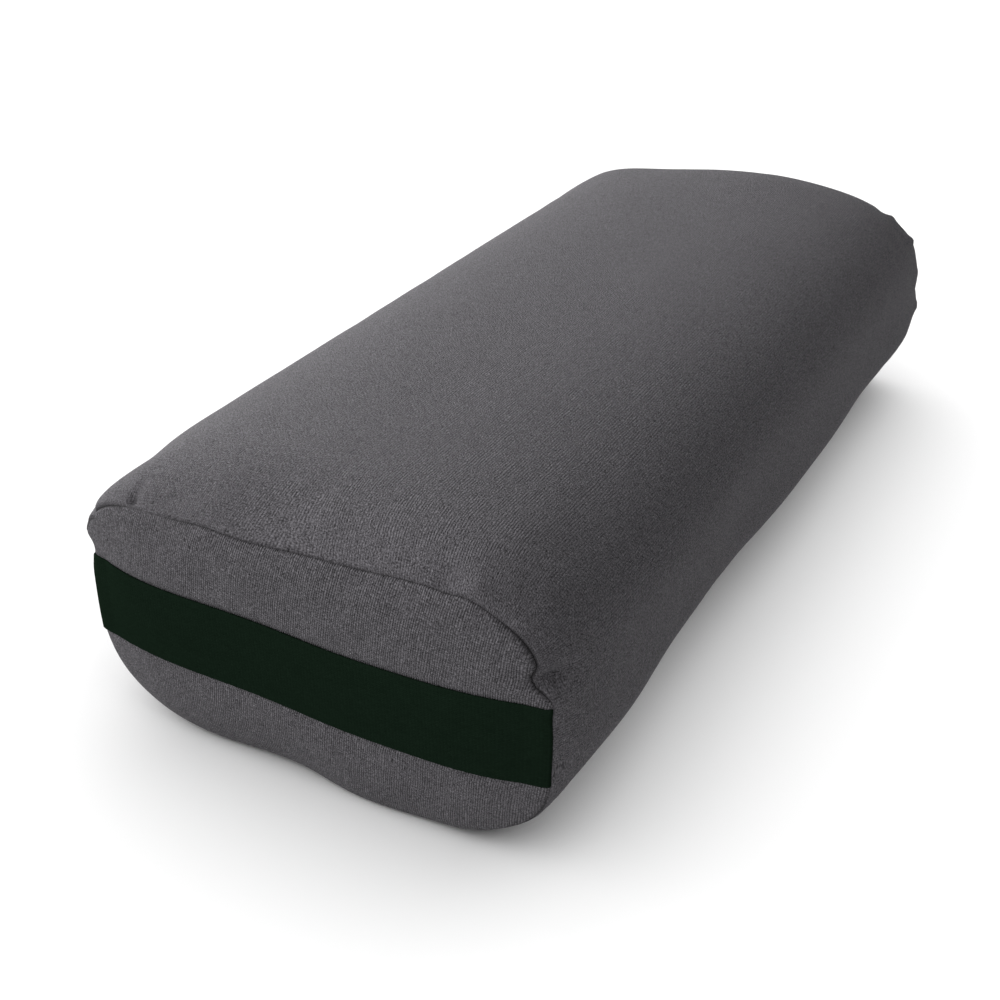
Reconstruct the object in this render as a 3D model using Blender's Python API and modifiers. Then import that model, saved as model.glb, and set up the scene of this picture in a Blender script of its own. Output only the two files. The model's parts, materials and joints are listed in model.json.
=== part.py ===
"""Yoga bolster: a stuffed oblong cushion in a zipped canvas cover, with a webbing handle on one end.

Metres, +Z up. The origin is on the floor under the middle of the cushion. Its length runs along Y,
the handle crosses the -Y end, and the zip lies along the -X side. Inside the cover are a cotton liner,
a batting wrap with a pad at each end, and a firm foam core.
"""

import math

import bmesh
import bpy
import numpy as np

# Outer form of the cover
WIDTH = 0.315
HEIGHT = 0.178
SEAM_LENGTH = 0.654  # from the front end seam to the rear one
SEAM_WIDTH = 0.295
SEAM_TOP = 0.153  # height of the end seams' top above the floor
SEAM_BOTTOM = 0.002
SIDE_HEIGHT = 0.0885  # height of the sides' widest line, where the zip lies
SIDE_FLAT = 0.036  # the band of each side that stands upright, about that line
FLOOR_FLAT = 0.060  # the strip of the underside that is level before the cushion settles
FLOOR_FLAT_END = 0.020
FLOOR_CUT = 0.0005  # how deep the settled underside is cut flat
DRAW_LENGTH = 0.120  # the stretch beside each end seam where the cover draws in
DRAW_POWER = 6.5
TOP_POWER = 2.5  # squareness of the section, above and below its widest line
TOP_POWER_END = 3.05
BOTTOM_POWER = 1.9
BOTTOM_POWER_END = 3.1
END_BULGE = 0.010  # how far each end panel stands out past its seam
END_POWER = 5.0

# Cloth, thread and the room left between layers
COVER_CLOTH = 0.0010
COVER_ALLOWANCE = 0.009  # cloth turned in behind each end seam
LINER_CLOTH = 0.0005
LINER_SIDE_ROOM = 0.0035  # from the cover's sides to the liner, room for the slider's inner plate
LINER_RIM = 0.0095  # the liner's end panels lie flat this far in, behind the turned-in cloth
THREAD = 0.0008
COVER_THREAD_INSET = 0.003
LINER_THREAD_INSET = 0.007
STITCH_THREAD = 0.0005
GAP = 0.0003

# Handle webbing
WEBBING_WIDTH = 0.050
WEBBING_THICKNESS = 0.0018
WEBBING_HEIGHT = 0.081  # height of its middle line above the floor

# Filling
CORE_LENGTH = 0.570
CORE_WIDTH = 0.235
CORE_HEIGHT = 0.105
CORE_ROUND = 0.020

# Zip: tapes, coils, stops and the stitching that holds the cover to the tapes
ZIP_LENGTH = 0.400
ZIP_SLIT = 0.0096
TAPE_WIDTH = 0.014
TAPE_THICKNESS = 0.0006
TAPE_PARTING = 0.0018
TAPE_TAIL = 0.010
COIL_WIDTH = 0.0023
COIL_HEIGHT = 0.0016
COIL_PARTING = 0.0014
STOP_INSET = 0.0035
TOP_STOP_LENGTH = 0.003
BOTTOM_STOP_LENGTH = 0.004
COIL_ROUND = 0.0004
STOP_ROUND = 0.0003
STITCH_INSET = 0.0025

# Slider and pull
SLIDER_LENGTH = 0.011
SLIDER_WIDTH = 0.0086
SLIDER_OUTER_PLATE = 0.0012
SLIDER_INNER_PLATE = 0.0010
SLIDER_FLANGE = 0.0010
BRIDGE_LENGTH = 0.003
BRIDGE_WIDTH = 0.0008
BAIL_WIDTH = 0.0020
BAIL_BAR = 0.0009
BAIL_OPENING = 0.0036
PULL_LENGTH = 0.022
PULL_WIDTH = 0.0064
PULL_THICKNESS = 0.0012
PULL_ROUND = 0.00025
PULL_EYE_LENGTH = 0.0034
PULL_EYE_WIDTH = 0.0032

# How finely the soft forms are divided
ARC_STEPS = 6
DRAW_STEPS = (0.1, 0.22, 0.5, 1.0)
PANEL_STEPS = (1.0, 0.93, 0.85, 0.7, 0.45)
DOME_STEPS = (0.75, 0.6, 0.4)
CORNER_STEPS = 4
CORE_ROUND_STEPS = 3
CURVE_SAMPLES = 200
THREAD_POINTS = 9
SHARP_ANGLE = math.radians(40)
SLOPE_ROOM = 1.2  # cloth behind the domed end panels needs this much more room along Y than square to them

# Worked out from the sizes above
SEAM = SEAM_LENGTH / 2
FLANGE = SEAM - COVER_CLOTH - GAP
LINER_END = FLANGE - COVER_CLOTH - GAP - THREAD - GAP
LINER_TUBE_END = LINER_END - LINER_CLOTH - GAP
CORE_END = CORE_LENGTH / 2
LINER_INSET = COVER_CLOTH + GAP
BATTING_INSET = LINER_INSET + LINER_CLOTH + GAP
BATTING_SIDE = LINER_SIDE_ROOM + LINER_CLOTH + GAP
ZIP_SIDE = WIDTH / 2
TAPE_FACE = ZIP_SIDE - COVER_CLOTH - GAP
COIL_FACE = TAPE_FACE + GAP
PLATE_FACE = COIL_FACE + COIL_HEIGHT + GAP
PIVOT = PLATE_FACE + SLIDER_OUTER_PLATE + GAP + PULL_THICKNESS / math.sqrt(2)
TOP_STOP = ZIP_LENGTH / 2 - STOP_INSET - TOP_STOP_LENGTH
BOTTOM_STOP = -ZIP_LENGTH / 2 + STOP_INSET + BOTTOM_STOP_LENGTH
SLIDER_Y = TOP_STOP - GAP - SLIDER_LENGTH / 2

PARTS = "yoga_bolster"
CUTTERS = "cutters"


def clear_scene():
    """Removes what is in the file and makes the two collections."""
    for item in list(bpy.data.objects):
        bpy.data.objects.remove(item, do_unlink=True)
    for name in (PARTS, CUTTERS):
        if name not in bpy.data.collections:
            bpy.context.scene.collection.children.link(bpy.data.collections.new(name))


def finish(name, colour, roughness, metallic=0.0):
    """A Principled material of one colour."""
    material = bpy.data.materials.new(name)
    material.use_nodes = True
    shader = material.node_tree.nodes["Principled BSDF"]
    shader.inputs["Base Color"].default_value = (*colour, 1.0)
    shader.inputs["Roughness"].default_value = roughness
    shader.inputs["Metallic"].default_value = metallic
    return material


def place(item, material=None, collection=PARTS):
    """Puts an object in its collection and gives it its material."""
    for other in list(item.users_collection):
        other.objects.unlink(item)
    bpy.data.collections[collection].objects.link(item)
    if material is not None:
        item.data.materials.clear()
        item.data.materials.append(material)
    if collection == CUTTERS:
        item.hide_render = True
        item.display_type = "WIRE"
    return item


def mix(middle, end, share):
    return middle * (1 - share) + end * share


def quarter(reach, rise, power):
    """A quarter of a superellipse, from its side to its crown, in points closest where it turns most."""
    turn = np.linspace(0, math.pi / 2, CURVE_SAMPLES)
    across = reach * np.cos(turn).clip(0) ** (2 / power)
    up = rise * np.sin(turn) ** (2 / power)
    length = np.hypot(np.diff(across), np.diff(up)).cumsum()
    bend = math.pi / 2 - np.arctan2(np.diff(up), -np.diff(across))
    run = np.append(0, length / length[-1] + bend / bend[-1])
    even = np.linspace(0, run[-1], ARC_STEPS + 1)
    return np.column_stack([np.interp(even, run, across), np.interp(even, run, up)])


def section(y, inset=0.0, side_inset=0.0, turned_in=0.0, slit=None):
    """The cushion's outline at a station along Y, as points (x, z) clockwise from the -X side.

    Each side has an upright band, the top and the underside are superellipse quarters, and the underside
    is cut flat at the floor. The insets are measured square to the surface, so they grow where it slopes
    down to the seam, and what is turned in is measured in the station's plane. A slit leaves the outline
    open at the sides' widest line.
    """
    near = max(0.0, 1.0 - (SEAM - abs(y)) / DRAW_LENGTH)
    share = near**DRAW_POWER
    slope = DRAW_POWER / DRAW_LENGTH * near ** (DRAW_POWER - 1)
    top_slope = slope * (HEIGHT - SEAM_TOP)
    side_slope = slope * (WIDTH - SEAM_WIDTH) / 2
    half = mix(WIDTH, SEAM_WIDTH, share) / 2 - side_inset * math.hypot(1, side_slope) - turned_in
    top = mix(HEIGHT, SEAM_TOP, share) - inset * math.hypot(1, top_slope) - turned_in
    low = mix(-FLOOR_CUT, SEAM_BOTTOM, share) + inset + turned_in
    flat = mix(FLOOR_FLAT, FLOOR_FLAT_END, share) / 2
    high_side = SIDE_HEIGHT + SIDE_FLAT / 2
    low_side = SIDE_HEIGHT - SIDE_FLAT / 2
    upper = quarter(half, top - high_side, mix(TOP_POWER, TOP_POWER_END, share)) + (0, high_side)
    lower = quarter(half - flat, low_side - low, mix(BOTTOM_POWER, BOTTOM_POWER_END, share))
    lower = lower * (1, -1) + (flat, low_side)
    lower[:, 1] = lower[:, 1].clip(inset)
    outline = [upper * (-1, 1), upper[-2::-1], lower, lower[::-1] * (-1, 1)]
    if slit is not None:
        edge = np.array([[-half, SIDE_HEIGHT]])
        outline = [edge + (0, slit / 2), *outline, edge - (0, slit / 2)]
    return np.concatenate(outline)


def at(outline, y):
    """An outline of (x, z) points stood up at a station along Y."""
    return np.column_stack([outline[:, 0], np.full(len(outline), y), outline[:, 1]])


def loft(name, rings, closed=True, flip=False, caps=(False, False)):
    """Joins rings of equally many points by faces. Faces point out when a clockwise ring moves along +Y."""
    count = len(rings[0])
    steps = count if closed else count - 1
    faces = []
    for i in range(len(rings) - 1):
        for j in range(steps):
            k = (j + 1) % count
            faces.append((i * count + j, i * count + k, (i + 1) * count + k, (i + 1) * count + j))
    if caps[0]:
        faces.append(tuple(reversed(range(count))))
    if caps[1]:
        faces.append(tuple(range((len(rings) - 1) * count, len(rings) * count)))
    if flip:
        faces = [face[::-1] for face in faces]
    mesh = bpy.data.meshes.new(name)
    mesh.from_pydata(np.concatenate(rings).tolist(), [], faces)
    mesh.shade_smooth()
    mesh.set_sharp_from_angle(angle=SHARP_ANGLE)
    return bpy.data.objects.new(name, mesh)


def thicken(item, thickness):
    """Gives an open surface its wall, inwards from the surface."""
    wall = item.modifiers.new("wall", "SOLIDIFY")
    wall.thickness = thickness
    wall.offset = -1
    wall.use_even_offset = True
    return item


def block(name, size, centre, bevel=0.0, steps=1):
    """A box of a given size with its scale applied, and its edges rounded if bevel is set."""
    bpy.ops.mesh.primitive_cube_add(size=1, location=centre)
    item = bpy.context.object
    item.name = name
    item.data.name = name
    bmesh_scale(item.data, size)
    if bevel:
        rounding = item.modifiers.new("rounding", "BEVEL")
        rounding.width = bevel
        rounding.segments = steps
    return item


def bmesh_scale(mesh, size):
    """Scales a mesh's own points, so that bevels keep their width."""
    work = bmesh.new()
    work.from_mesh(mesh)
    bmesh.ops.scale(work, vec=size, verts=work.verts)
    work.to_mesh(mesh)
    work.free()


def boolean(item, other, operation):
    """Cuts another object from this one or adds it, and keeps that object among the cutters."""
    place(other, collection=CUTTERS)
    change = item.modifiers.new(other.name, "BOOLEAN")
    change.operation = operation
    change.object = other
    return item


def thread(name, points, diameter, closed=False):
    """A sewing thread along a run of points."""
    curve = bpy.data.curves.new(name, "CURVE")
    curve.dimensions = "3D"
    curve.bevel_depth = diameter / 2
    curve.bevel_resolution = 1
    curve.use_fill_caps = not closed
    spline = curve.splines.new("POLY")
    spline.points.add(len(points) - 1)
    for point, target in zip(spline.points, points):
        point.co = (*target, 1.0)
    spline.use_cyclic_u = closed
    return bpy.data.objects.new(name, curve)


def stations(*more):
    """Stations along Y that all layers share, front to rear, with more given as distances from the middle."""
    distances = [SEAM - step * DRAW_LENGTH for step in DRAW_STEPS] + [CORE_END, *more]
    return sorted({side * round(distance, 7) for distance in distances for side in (-1, 1)})


def end_face(share):
    """How far the cover's end panel stands from the middle, share of the way from its centre to its rim."""
    return SEAM + END_BULGE * (1 - share**END_POWER)


def shrink(outline, share):
    """An outline drawn towards the middle of the end panel."""
    centre = np.array([0.0, SIDE_HEIGHT])
    return centre + (outline - centre) * share


def dome_rings(depth, inset, side_inset):
    """An inner layer's end: flat behind the turned-in cloth, then following the cover's end panel."""
    y = LINER_END - depth
    rim = section(y, inset, side_inset)
    ledge = section(y, inset, side_inset, turned_in=LINER_RIM)
    rings = [(rim, y), (ledge, y)]
    for share in DOME_STEPS:
        height = end_face(share) - COVER_CLOTH - 2 * GAP - SLOPE_ROOM * depth
        rings.append((shrink(section(SEAM, turned_in=depth), share), height))
    return rings


def cover_main_panel(canvas):
    """Canvas wrapped round so that its edges meet at the zip, its ends turned in behind the end panels."""
    slit_end = ZIP_LENGTH / 2
    rings = []
    for y in stations(LINER_TUBE_END, FLANGE, slit_end, slit_end + ZIP_SLIT / 2):
        opening = ZIP_SLIT if abs(y) <= slit_end + GAP else GAP
        rings.append(at(section(y, slit=opening), y))
    allowance = section(FLANGE, turned_in=COVER_ALLOWANCE, slit=GAP)
    rings = [at(allowance, -FLANGE), *rings, at(allowance, FLANGE)]
    return place(thicken(loft("cover_main_panel", rings, closed=False), COVER_CLOTH), canvas)


def cover_end_panel(name, side, canvas):
    """The bulged panel sewn into an end of the cover. Side is -1 at the front and 1 at the rear."""
    rim = section(SEAM)
    rings = [at(shrink(rim, share), side * end_face(share)) for share in PANEL_STEPS]
    panel = loft(name, rings, flip=side < 0, caps=(False, True))
    return place(thicken(panel, COVER_CLOTH), canvas)


def notch_for_handle(panel):
    """Cuts the panel's rim away where the two ends of the webbing go into the seam."""
    depth = WEBBING_THICKNESS + GAP
    reach = 4 * depth
    size = (reach, 2 * END_BULGE, WEBBING_WIDTH + 2 * GAP)
    for name, side in (("left", -1), ("right", 1)):
        centre = (side * (SEAM_WIDTH / 2 - depth + reach / 2), -SEAM, WEBBING_HEIGHT)
        boolean(panel, block("handle_notch_" + name, size, centre), "DIFFERENCE")


def handle_webbing(webbing):
    """Flat webbing across the front end panel, each end turned into the side seam through its notch."""
    half = SEAM_WIDTH / 2
    notch = half - WEBBING_THICKNESS - GAP
    bend = WEBBING_THICKNESS + GAP
    bend_y = end_face(notch / half)
    lean = math.atan2(half, END_POWER * END_BULGE)
    tuck = [(half, SEAM - COVER_CLOTH)]
    for turn in np.linspace(0, lean, CORNER_STEPS):
        tuck.append((notch + bend * math.cos(turn), bend_y + bend * math.sin(turn)))
    run = [(share * half, end_face(share) + bend) for share in PANEL_STEPS[1:]]
    right = np.array(tuck + run)
    path = np.concatenate([right, right[::-1] * (-1, 1)])
    low = WEBBING_HEIGHT - WEBBING_WIDTH / 2
    rings = [np.array([(x, -y, low), (x, -y, low + WEBBING_WIDTH)]) for x, y in path]
    return place(thicken(loft("handle_webbing", rings, closed=False), WEBBING_THICKNESS), webbing)


def end_seam_threads(sewing):
    """The line of stitches that closes each end seam, behind the cloth that is turned in."""
    loop = section(SEAM, turned_in=COVER_THREAD_INSET)
    depth = FLANGE - COVER_CLOTH - GAP - THREAD / 2
    for name, side in (("front", -1), ("rear", 1)):
        ring = at(loop, side * depth)
        place(thread("end_seam_thread_" + name, ring, THREAD, closed=True), sewing)


def side_seam_threads(sewing):
    """The two short seams that close the cover's side between the zip and each end."""
    start = ZIP_LENGTH / 2 + TAPE_TAIL + 2 * GAP
    end = LINER_END - THREAD
    for name, side in (("front", -1), ("rear", 1)):
        points = []
        for y in np.linspace(start, end, THREAD_POINTS):
            half = section(y)[:, 0].max() - COVER_CLOTH - GAP - THREAD / 2
            points.append((-half, side * y, SIDE_HEIGHT))
        place(thread("side_seam_thread_" + name, points, THREAD), sewing)


def liner_main_panel(cotton):
    """The liner's wrap, with its closing seam along the +X side."""
    rings = []
    for y in stations(LINER_TUBE_END):
        outline = section(y, LINER_INSET, LINER_SIDE_ROOM, slit=GAP)
        rings.append(at(outline * (-1, 1), y))
    panel = loft("liner_main_panel", rings, closed=False, flip=True)
    return place(thicken(panel, LINER_CLOTH), cotton)


def liner_end_panels(cotton):
    """The liner's two end panels, which fill the ends of the cover."""
    rings = dome_rings(0.0, LINER_INSET, LINER_SIDE_ROOM)
    for name, side in (("front", -1), ("rear", 1)):
        stood = [at(outline, side * y) for outline, y in rings]
        panel = loft("liner_end_panel_" + name, stood, flip=side < 0, caps=(False, True))
        place(thicken(panel, LINER_CLOTH), cotton)


def liner_threads(sewing):
    """The liner's end seams, and the stitches that close its side after stuffing."""
    loop = section(SEAM, turned_in=LINER_THREAD_INSET)
    for name, side in (("front", -1), ("rear", 1)):
        ring = at(loop, side * (LINER_END + GAP + THREAD / 2))
        place(thread("liner_seam_thread_" + name, ring, THREAD, closed=True), sewing)
    reach = WIDTH / 2 - LINER_SIDE_ROOM + GAP + THREAD / 2
    half = SEAM - DRAW_LENGTH
    points = [(reach, -half, SIDE_HEIGHT), (reach, half, SIDE_HEIGHT)]
    place(thread("liner_closing_thread", points, THREAD), sewing)


def foam_core(foam):
    """The firm block in the middle of the filling."""
    size = (CORE_WIDTH, CORE_LENGTH, CORE_HEIGHT)
    return place(block("foam_core", size, (0, 0, HEIGHT / 2), CORE_ROUND, CORE_ROUND_STEPS), foam)


def batting_wrap(batting):
    """Batting wound round the core and filling the liner, with the core's shape left out of it."""
    covered = [y for y in stations() if abs(y) <= CORE_END + GAP / 2]
    rings = [at(section(y, BATTING_INSET, BATTING_SIDE), y) for y in covered]
    wrap = loft("batting_wrap", rings, caps=(True, True))
    room = 2 * GAP
    size = (CORE_WIDTH + room, 2 * CORE_LENGTH, CORE_HEIGHT + room)
    hollow = block("core_hollow", size, (0, 0, HEIGHT / 2), CORE_ROUND + GAP, CORE_ROUND_STEPS)
    return place(boolean(wrap, hollow, "DIFFERENCE"), batting)


def batting_end_pads(batting):
    """The pads of batting between the core's ends and the liner's end panels."""
    rings = [(section(CORE_END, BATTING_INSET, BATTING_SIDE), CORE_END + GAP)]
    for y in stations():
        if y > CORE_END + 2 * GAP:
            rings.append((section(y, BATTING_INSET, BATTING_SIDE), y))
    rings += dome_rings(LINER_CLOTH + 2 * GAP, BATTING_INSET, BATTING_SIDE)
    for name, side in (("front", -1), ("rear", 1)):
        stood = [at(outline, side * y) for outline, y in rings]
        pad = loft("batting_end_pad_" + name, stood, flip=side < 0, caps=(True, True))
        place(pad, batting)


def zip_strip(name, faces, parting, width, ends, material, bevel=0.0):
    """A straight strip along the zip between two faces, above or below its middle line as its name says."""
    side = 1 if name.endswith("upper") else -1
    inner, outer = faces
    size = (outer - inner, ends[1] - ends[0], width)
    height = SIDE_HEIGHT + side * (parting / 2 + width / 2)
    centre = (-(inner + outer) / 2, (ends[0] + ends[1]) / 2, height)
    return place(block(name, size, centre, bevel), material)


def zip_fixed_parts(tape, coil, metal, sewing):
    """The tapes, coils, stops and topstitching along the cover's slit."""
    tape_faces = (TAPE_FACE - TAPE_THICKNESS, TAPE_FACE)
    coil_faces = (COIL_FACE, COIL_FACE + COIL_HEIGHT)
    tail = ZIP_LENGTH / 2 + TAPE_TAIL
    for side in ("_upper", "_lower"):
        sign = 1 if side == "_upper" else -1
        zip_strip("zip_tape" + side, tape_faces, TAPE_PARTING, TAPE_WIDTH, (-tail, tail), tape)
        run = (BOTTOM_STOP + GAP, TOP_STOP - GAP)
        zip_strip("zip_coil" + side, coil_faces, COIL_PARTING, COIL_WIDTH, run, coil, COIL_ROUND)
        stop = (TOP_STOP, TOP_STOP + TOP_STOP_LENGTH)
        zip_strip("zip_top_stop" + side, coil_faces, COIL_PARTING, COIL_WIDTH, stop, metal, STOP_ROUND)
        height = SIDE_HEIGHT + sign * (ZIP_SLIT / 2 + STITCH_INSET)
        reach = ZIP_SIDE + GAP + STITCH_THREAD / 2
        points = [(-reach, -ZIP_LENGTH / 2, height), (-reach, ZIP_LENGTH / 2, height)]
        place(thread("zip_stitch" + side, points, STITCH_THREAD), sewing)
    size = (COIL_HEIGHT, BOTTOM_STOP_LENGTH, COIL_PARTING + 2 * COIL_WIDTH)
    centre = (-(COIL_FACE + COIL_HEIGHT / 2), BOTTOM_STOP - BOTTOM_STOP_LENGTH / 2, SIDE_HEIGHT)
    place(block("zip_bottom_stop", size, centre, STOP_ROUND), metal)


def slider_piece(name, faces, length, width, offset_z=0.0, bevel=0.0):
    """A block of the slider between two faces, measured from the cushion's middle towards -X."""
    inner, outer = faces
    size = (outer - inner, length, width)
    centre = (-(inner + outer) / 2, SLIDER_Y, SIDE_HEIGHT + offset_z)
    return block(name, size, centre, bevel)


def zip_slider_body(metal):
    """An outer and an inner plate joined by a bridge, two flanges beside the coils, and a bail."""
    plate_back = PLATE_FACE + SLIDER_OUTER_PLATE
    tape_back = TAPE_FACE - TAPE_THICKNESS - GAP
    inner_faces = (tape_back - SLIDER_INNER_PLATE, tape_back)
    body = slider_piece("zip_slider_body", (PLATE_FACE, plate_back), SLIDER_LENGTH, SLIDER_WIDTH)
    inner = slider_piece("slider_inner", inner_faces, SLIDER_LENGTH, SLIDER_WIDTH)
    boolean(body, inner, "UNION")
    bridge_faces = (tape_back - SLIDER_INNER_PLATE / 2, PLATE_FACE + SLIDER_OUTER_PLATE / 2)
    bridge = slider_piece("slider_bridge", bridge_faces, BRIDGE_LENGTH, BRIDGE_WIDTH)
    boolean(body, bridge, "UNION")
    flange_faces = (TAPE_FACE + GAP, PLATE_FACE + SLIDER_OUTER_PLATE / 2)
    for name, side in (("upper", 1), ("lower", -1)):
        offset = side * (SLIDER_WIDTH - SLIDER_FLANGE) / 2
        flange = slider_piece("slider_flange_" + name, flange_faces, SLIDER_LENGTH, SLIDER_FLANGE, offset)
        boolean(body, flange, "UNION")
    opening_top = PIVOT + PULL_THICKNESS / math.sqrt(2) + GAP
    bail_faces = (plate_back - SLIDER_OUTER_PLATE / 2, opening_top + BAIL_BAR)
    bail_length = BAIL_OPENING + 2 * BAIL_BAR
    bail = slider_piece("slider_bail", bail_faces, bail_length, BAIL_WIDTH)
    boolean(body, bail, "UNION")
    opening_faces = (plate_back, opening_top)
    opening = slider_piece("bail_opening", opening_faces, BAIL_OPENING, 2 * BAIL_WIDTH)
    boolean(body, opening, "DIFFERENCE")
    return place(body, metal)


def zip_pull_tab(metal):
    """The pull: a plate hung by its end bar under the bail, lying back over the closed coils."""
    size = (PULL_THICKNESS, PULL_LENGTH, PULL_WIDTH)
    start = SLIDER_Y + PULL_THICKNESS / 2
    tab = block("zip_pull_tab", size, (-PIVOT, start - PULL_LENGTH / 2, SIDE_HEIGHT), PULL_ROUND)
    size = (2 * PULL_THICKNESS, PULL_EYE_LENGTH, PULL_EYE_WIDTH)
    centre = (-PIVOT, SLIDER_Y - PULL_THICKNESS / 2 - PULL_EYE_LENGTH / 2, SIDE_HEIGHT)
    boolean(tab, block("pull_eye", size, centre), "DIFFERENCE")
    return place(hinge_origin(tab), metal)


def hinge_origin(item):
    """Moves an object's origin to the pull's swing axis and leaves its mesh where it is."""
    shift = item.location - type(item.location)((-PIVOT, SLIDER_Y, SIDE_HEIGHT))
    work = bmesh.new()
    work.from_mesh(item.data)
    bmesh.ops.translate(work, vec=shift, verts=work.verts)
    work.to_mesh(item.data)
    work.free()
    item.location = item.location - shift
    return item


def build():
    clear_scene()
    canvas = finish("charcoal_canvas", (0.090, 0.086, 0.092), 0.9)
    webbing = finish("dark_green_webbing", (0.006, 0.014, 0.008), 0.8)
    sewing = finish("charcoal_thread", (0.060, 0.058, 0.062), 0.6)
    tape = finish("zip_tape", (0.030, 0.029, 0.031), 0.85)
    coil = finish("zip_coil", (0.024, 0.024, 0.026), 0.45)
    metal = finish("zip_metal", (0.030, 0.030, 0.032), 0.35, 0.8)
    cotton = finish("liner_cotton", (0.720, 0.680, 0.590), 0.9)
    batting = finish("cotton_batting", (0.800, 0.780, 0.720), 1.0)
    foam = finish("foam", (0.780, 0.740, 0.560), 0.95)
    cover_main_panel(canvas)
    notch_for_handle(cover_end_panel("cover_end_panel_front", -1, canvas))
    cover_end_panel("cover_end_panel_rear", 1, canvas)
    handle_webbing(webbing)
    end_seam_threads(sewing)
    side_seam_threads(sewing)
    liner_main_panel(cotton)
    liner_end_panels(cotton)
    liner_threads(sewing)
    foam_core(foam)
    batting_wrap(batting)
    batting_end_pads(batting)
    zip_fixed_parts(tape, coil, metal, sewing)
    zip_slider_body(metal)
    zip_pull_tab(metal)


build()
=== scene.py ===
"""Looks of the yoga bolster: its canvas, seams, webbing handle, zip, liner and filling.

Metres, +Z up, with the webbing handle at the -Y end and the zip along the -X side.
"""

import json
import math

import bmesh
import bpy
import numpy as np
from mathutils import Matrix, Vector

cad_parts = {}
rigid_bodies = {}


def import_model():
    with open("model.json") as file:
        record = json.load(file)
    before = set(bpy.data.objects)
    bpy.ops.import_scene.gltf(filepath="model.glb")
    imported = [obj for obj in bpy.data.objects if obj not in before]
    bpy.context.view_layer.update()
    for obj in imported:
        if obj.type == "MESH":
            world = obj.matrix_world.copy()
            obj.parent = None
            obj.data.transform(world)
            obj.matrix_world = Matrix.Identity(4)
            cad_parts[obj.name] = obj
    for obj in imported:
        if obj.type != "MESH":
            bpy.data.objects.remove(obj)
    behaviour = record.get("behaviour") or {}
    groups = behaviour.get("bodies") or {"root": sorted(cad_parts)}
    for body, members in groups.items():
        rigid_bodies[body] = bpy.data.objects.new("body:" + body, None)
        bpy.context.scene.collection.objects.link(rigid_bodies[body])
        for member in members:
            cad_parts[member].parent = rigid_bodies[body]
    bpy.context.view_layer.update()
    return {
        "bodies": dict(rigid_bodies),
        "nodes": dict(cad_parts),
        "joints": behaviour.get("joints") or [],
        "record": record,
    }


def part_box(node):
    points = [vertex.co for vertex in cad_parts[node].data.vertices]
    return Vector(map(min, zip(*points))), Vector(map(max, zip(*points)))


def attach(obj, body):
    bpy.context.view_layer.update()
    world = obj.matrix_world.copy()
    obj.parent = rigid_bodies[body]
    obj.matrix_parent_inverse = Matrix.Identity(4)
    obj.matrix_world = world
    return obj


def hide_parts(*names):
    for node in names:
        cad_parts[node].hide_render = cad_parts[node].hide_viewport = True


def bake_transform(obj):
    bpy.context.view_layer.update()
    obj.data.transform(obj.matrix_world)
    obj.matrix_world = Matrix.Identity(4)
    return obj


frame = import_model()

# The camera of the photograph
CAMERA_TARGET = (-0.0658, 0.0, -0.0078)
CAMERA_DISTANCE = 1.0487
CAMERA_AZIMUTH = math.radians(29.78)
CAMERA_ELEVATION = math.radians(30.53)
CAMERA_ROLL = -0.0174
CAMERA_LENS = 49.5
SENSOR_WIDTH = 36.0

# Outer form, from the solid model's boxes and its own shape values
COVER_CLOTH = 0.0010
GAP = 0.0003
MAIN_LOW, MAIN_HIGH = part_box("cover_main_panel")
PANEL_LOW, PANEL_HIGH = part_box("cover_end_panel_rear")
WIDTH = MAIN_HIGH.x - MAIN_LOW.x
HEIGHT = MAIN_HIGH.z
SEAM = MAIN_HIGH.y + COVER_CLOTH + GAP
SEAM_WIDTH = PANEL_HIGH.x - PANEL_LOW.x
SEAM_TOP = PANEL_HIGH.z
SEAM_BOTTOM = PANEL_LOW.z
SIDE_HEIGHT = 0.0885
SIDE_FLAT = 0.036
FLOOR_FLAT = 0.060
FLOOR_FLAT_END = 0.020
FLOOR_CUT = 0.0005
DRAW_LENGTH = 0.120
DRAW_POWER = 6.5
TOP_POWER = 2.5
TOP_POWER_END = 3.05
BOTTOM_POWER = 1.9
BOTTOM_POWER_END = 3.1
END_BULGE = 0.010
END_POWER = 5.0
CENTRE = np.array([0.0, 0.0, SIDE_HEIGHT])
UPWARDS = np.array([0, 0, 1])

# Both ends: row of a lengthwise grid, side of Y, and name
ENDS = ((0, -1, "front"), (-1, 1, "rear"))

# How finely the cloth is divided, and the share of a panel at which its middle is closed
CLOTH_STEP = 0.0026
CLOTH_STATION = 0.0060
ZIP_EDGE_STEP = 0.0011
SEAM_STEP = 0.0004
STEP_GROWTH = 1.18
LINING_STEP = 0.0065
LINING_STATION = 0.010
LINING_FIRST_STEP = 0.002
LINING_GROWTH = 1.5
CURVE_SAMPLES = 400
POLE_SHARE = 0.04
POLE_ROOM = 0.01

# End seams: their groove, the painted shadow along its fold, and how hard the stitches pull: in general,
# at the upper corners, low down, and where they are slack. Places are (x, z).
GROOVE_DEPTH = 0.0026
GROOVE_WIDTH_LOW = 0.0022
GROOVE_WIDTH_HIGH = 0.0040
SEAM_SHADOW_REACH = 0.0006
SEAM_SHADOW_SPREAD = (0.5, 2.4)
SEAM_SHADOW_STRENGTH = (0.25, 1.3)
PULL = 0.35
PULL_CORNER = 0.65
PULL_LOW = 0.15
PULL_SLACK = 0.7
SEAM_CORNER = (0.139, 0.130)
SEAM_CORNER_REACH = (0.016, 0.018)
SEAM_SLACK = (-0.098, 0.147)
SEAM_SLACK_REACH = (0.016, 0.012)
SEAM_LOW = 0.030
SEAM_BLUR = 3
ALLOWANCE = 0.009
THREAD_INSET = 0.003

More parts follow.
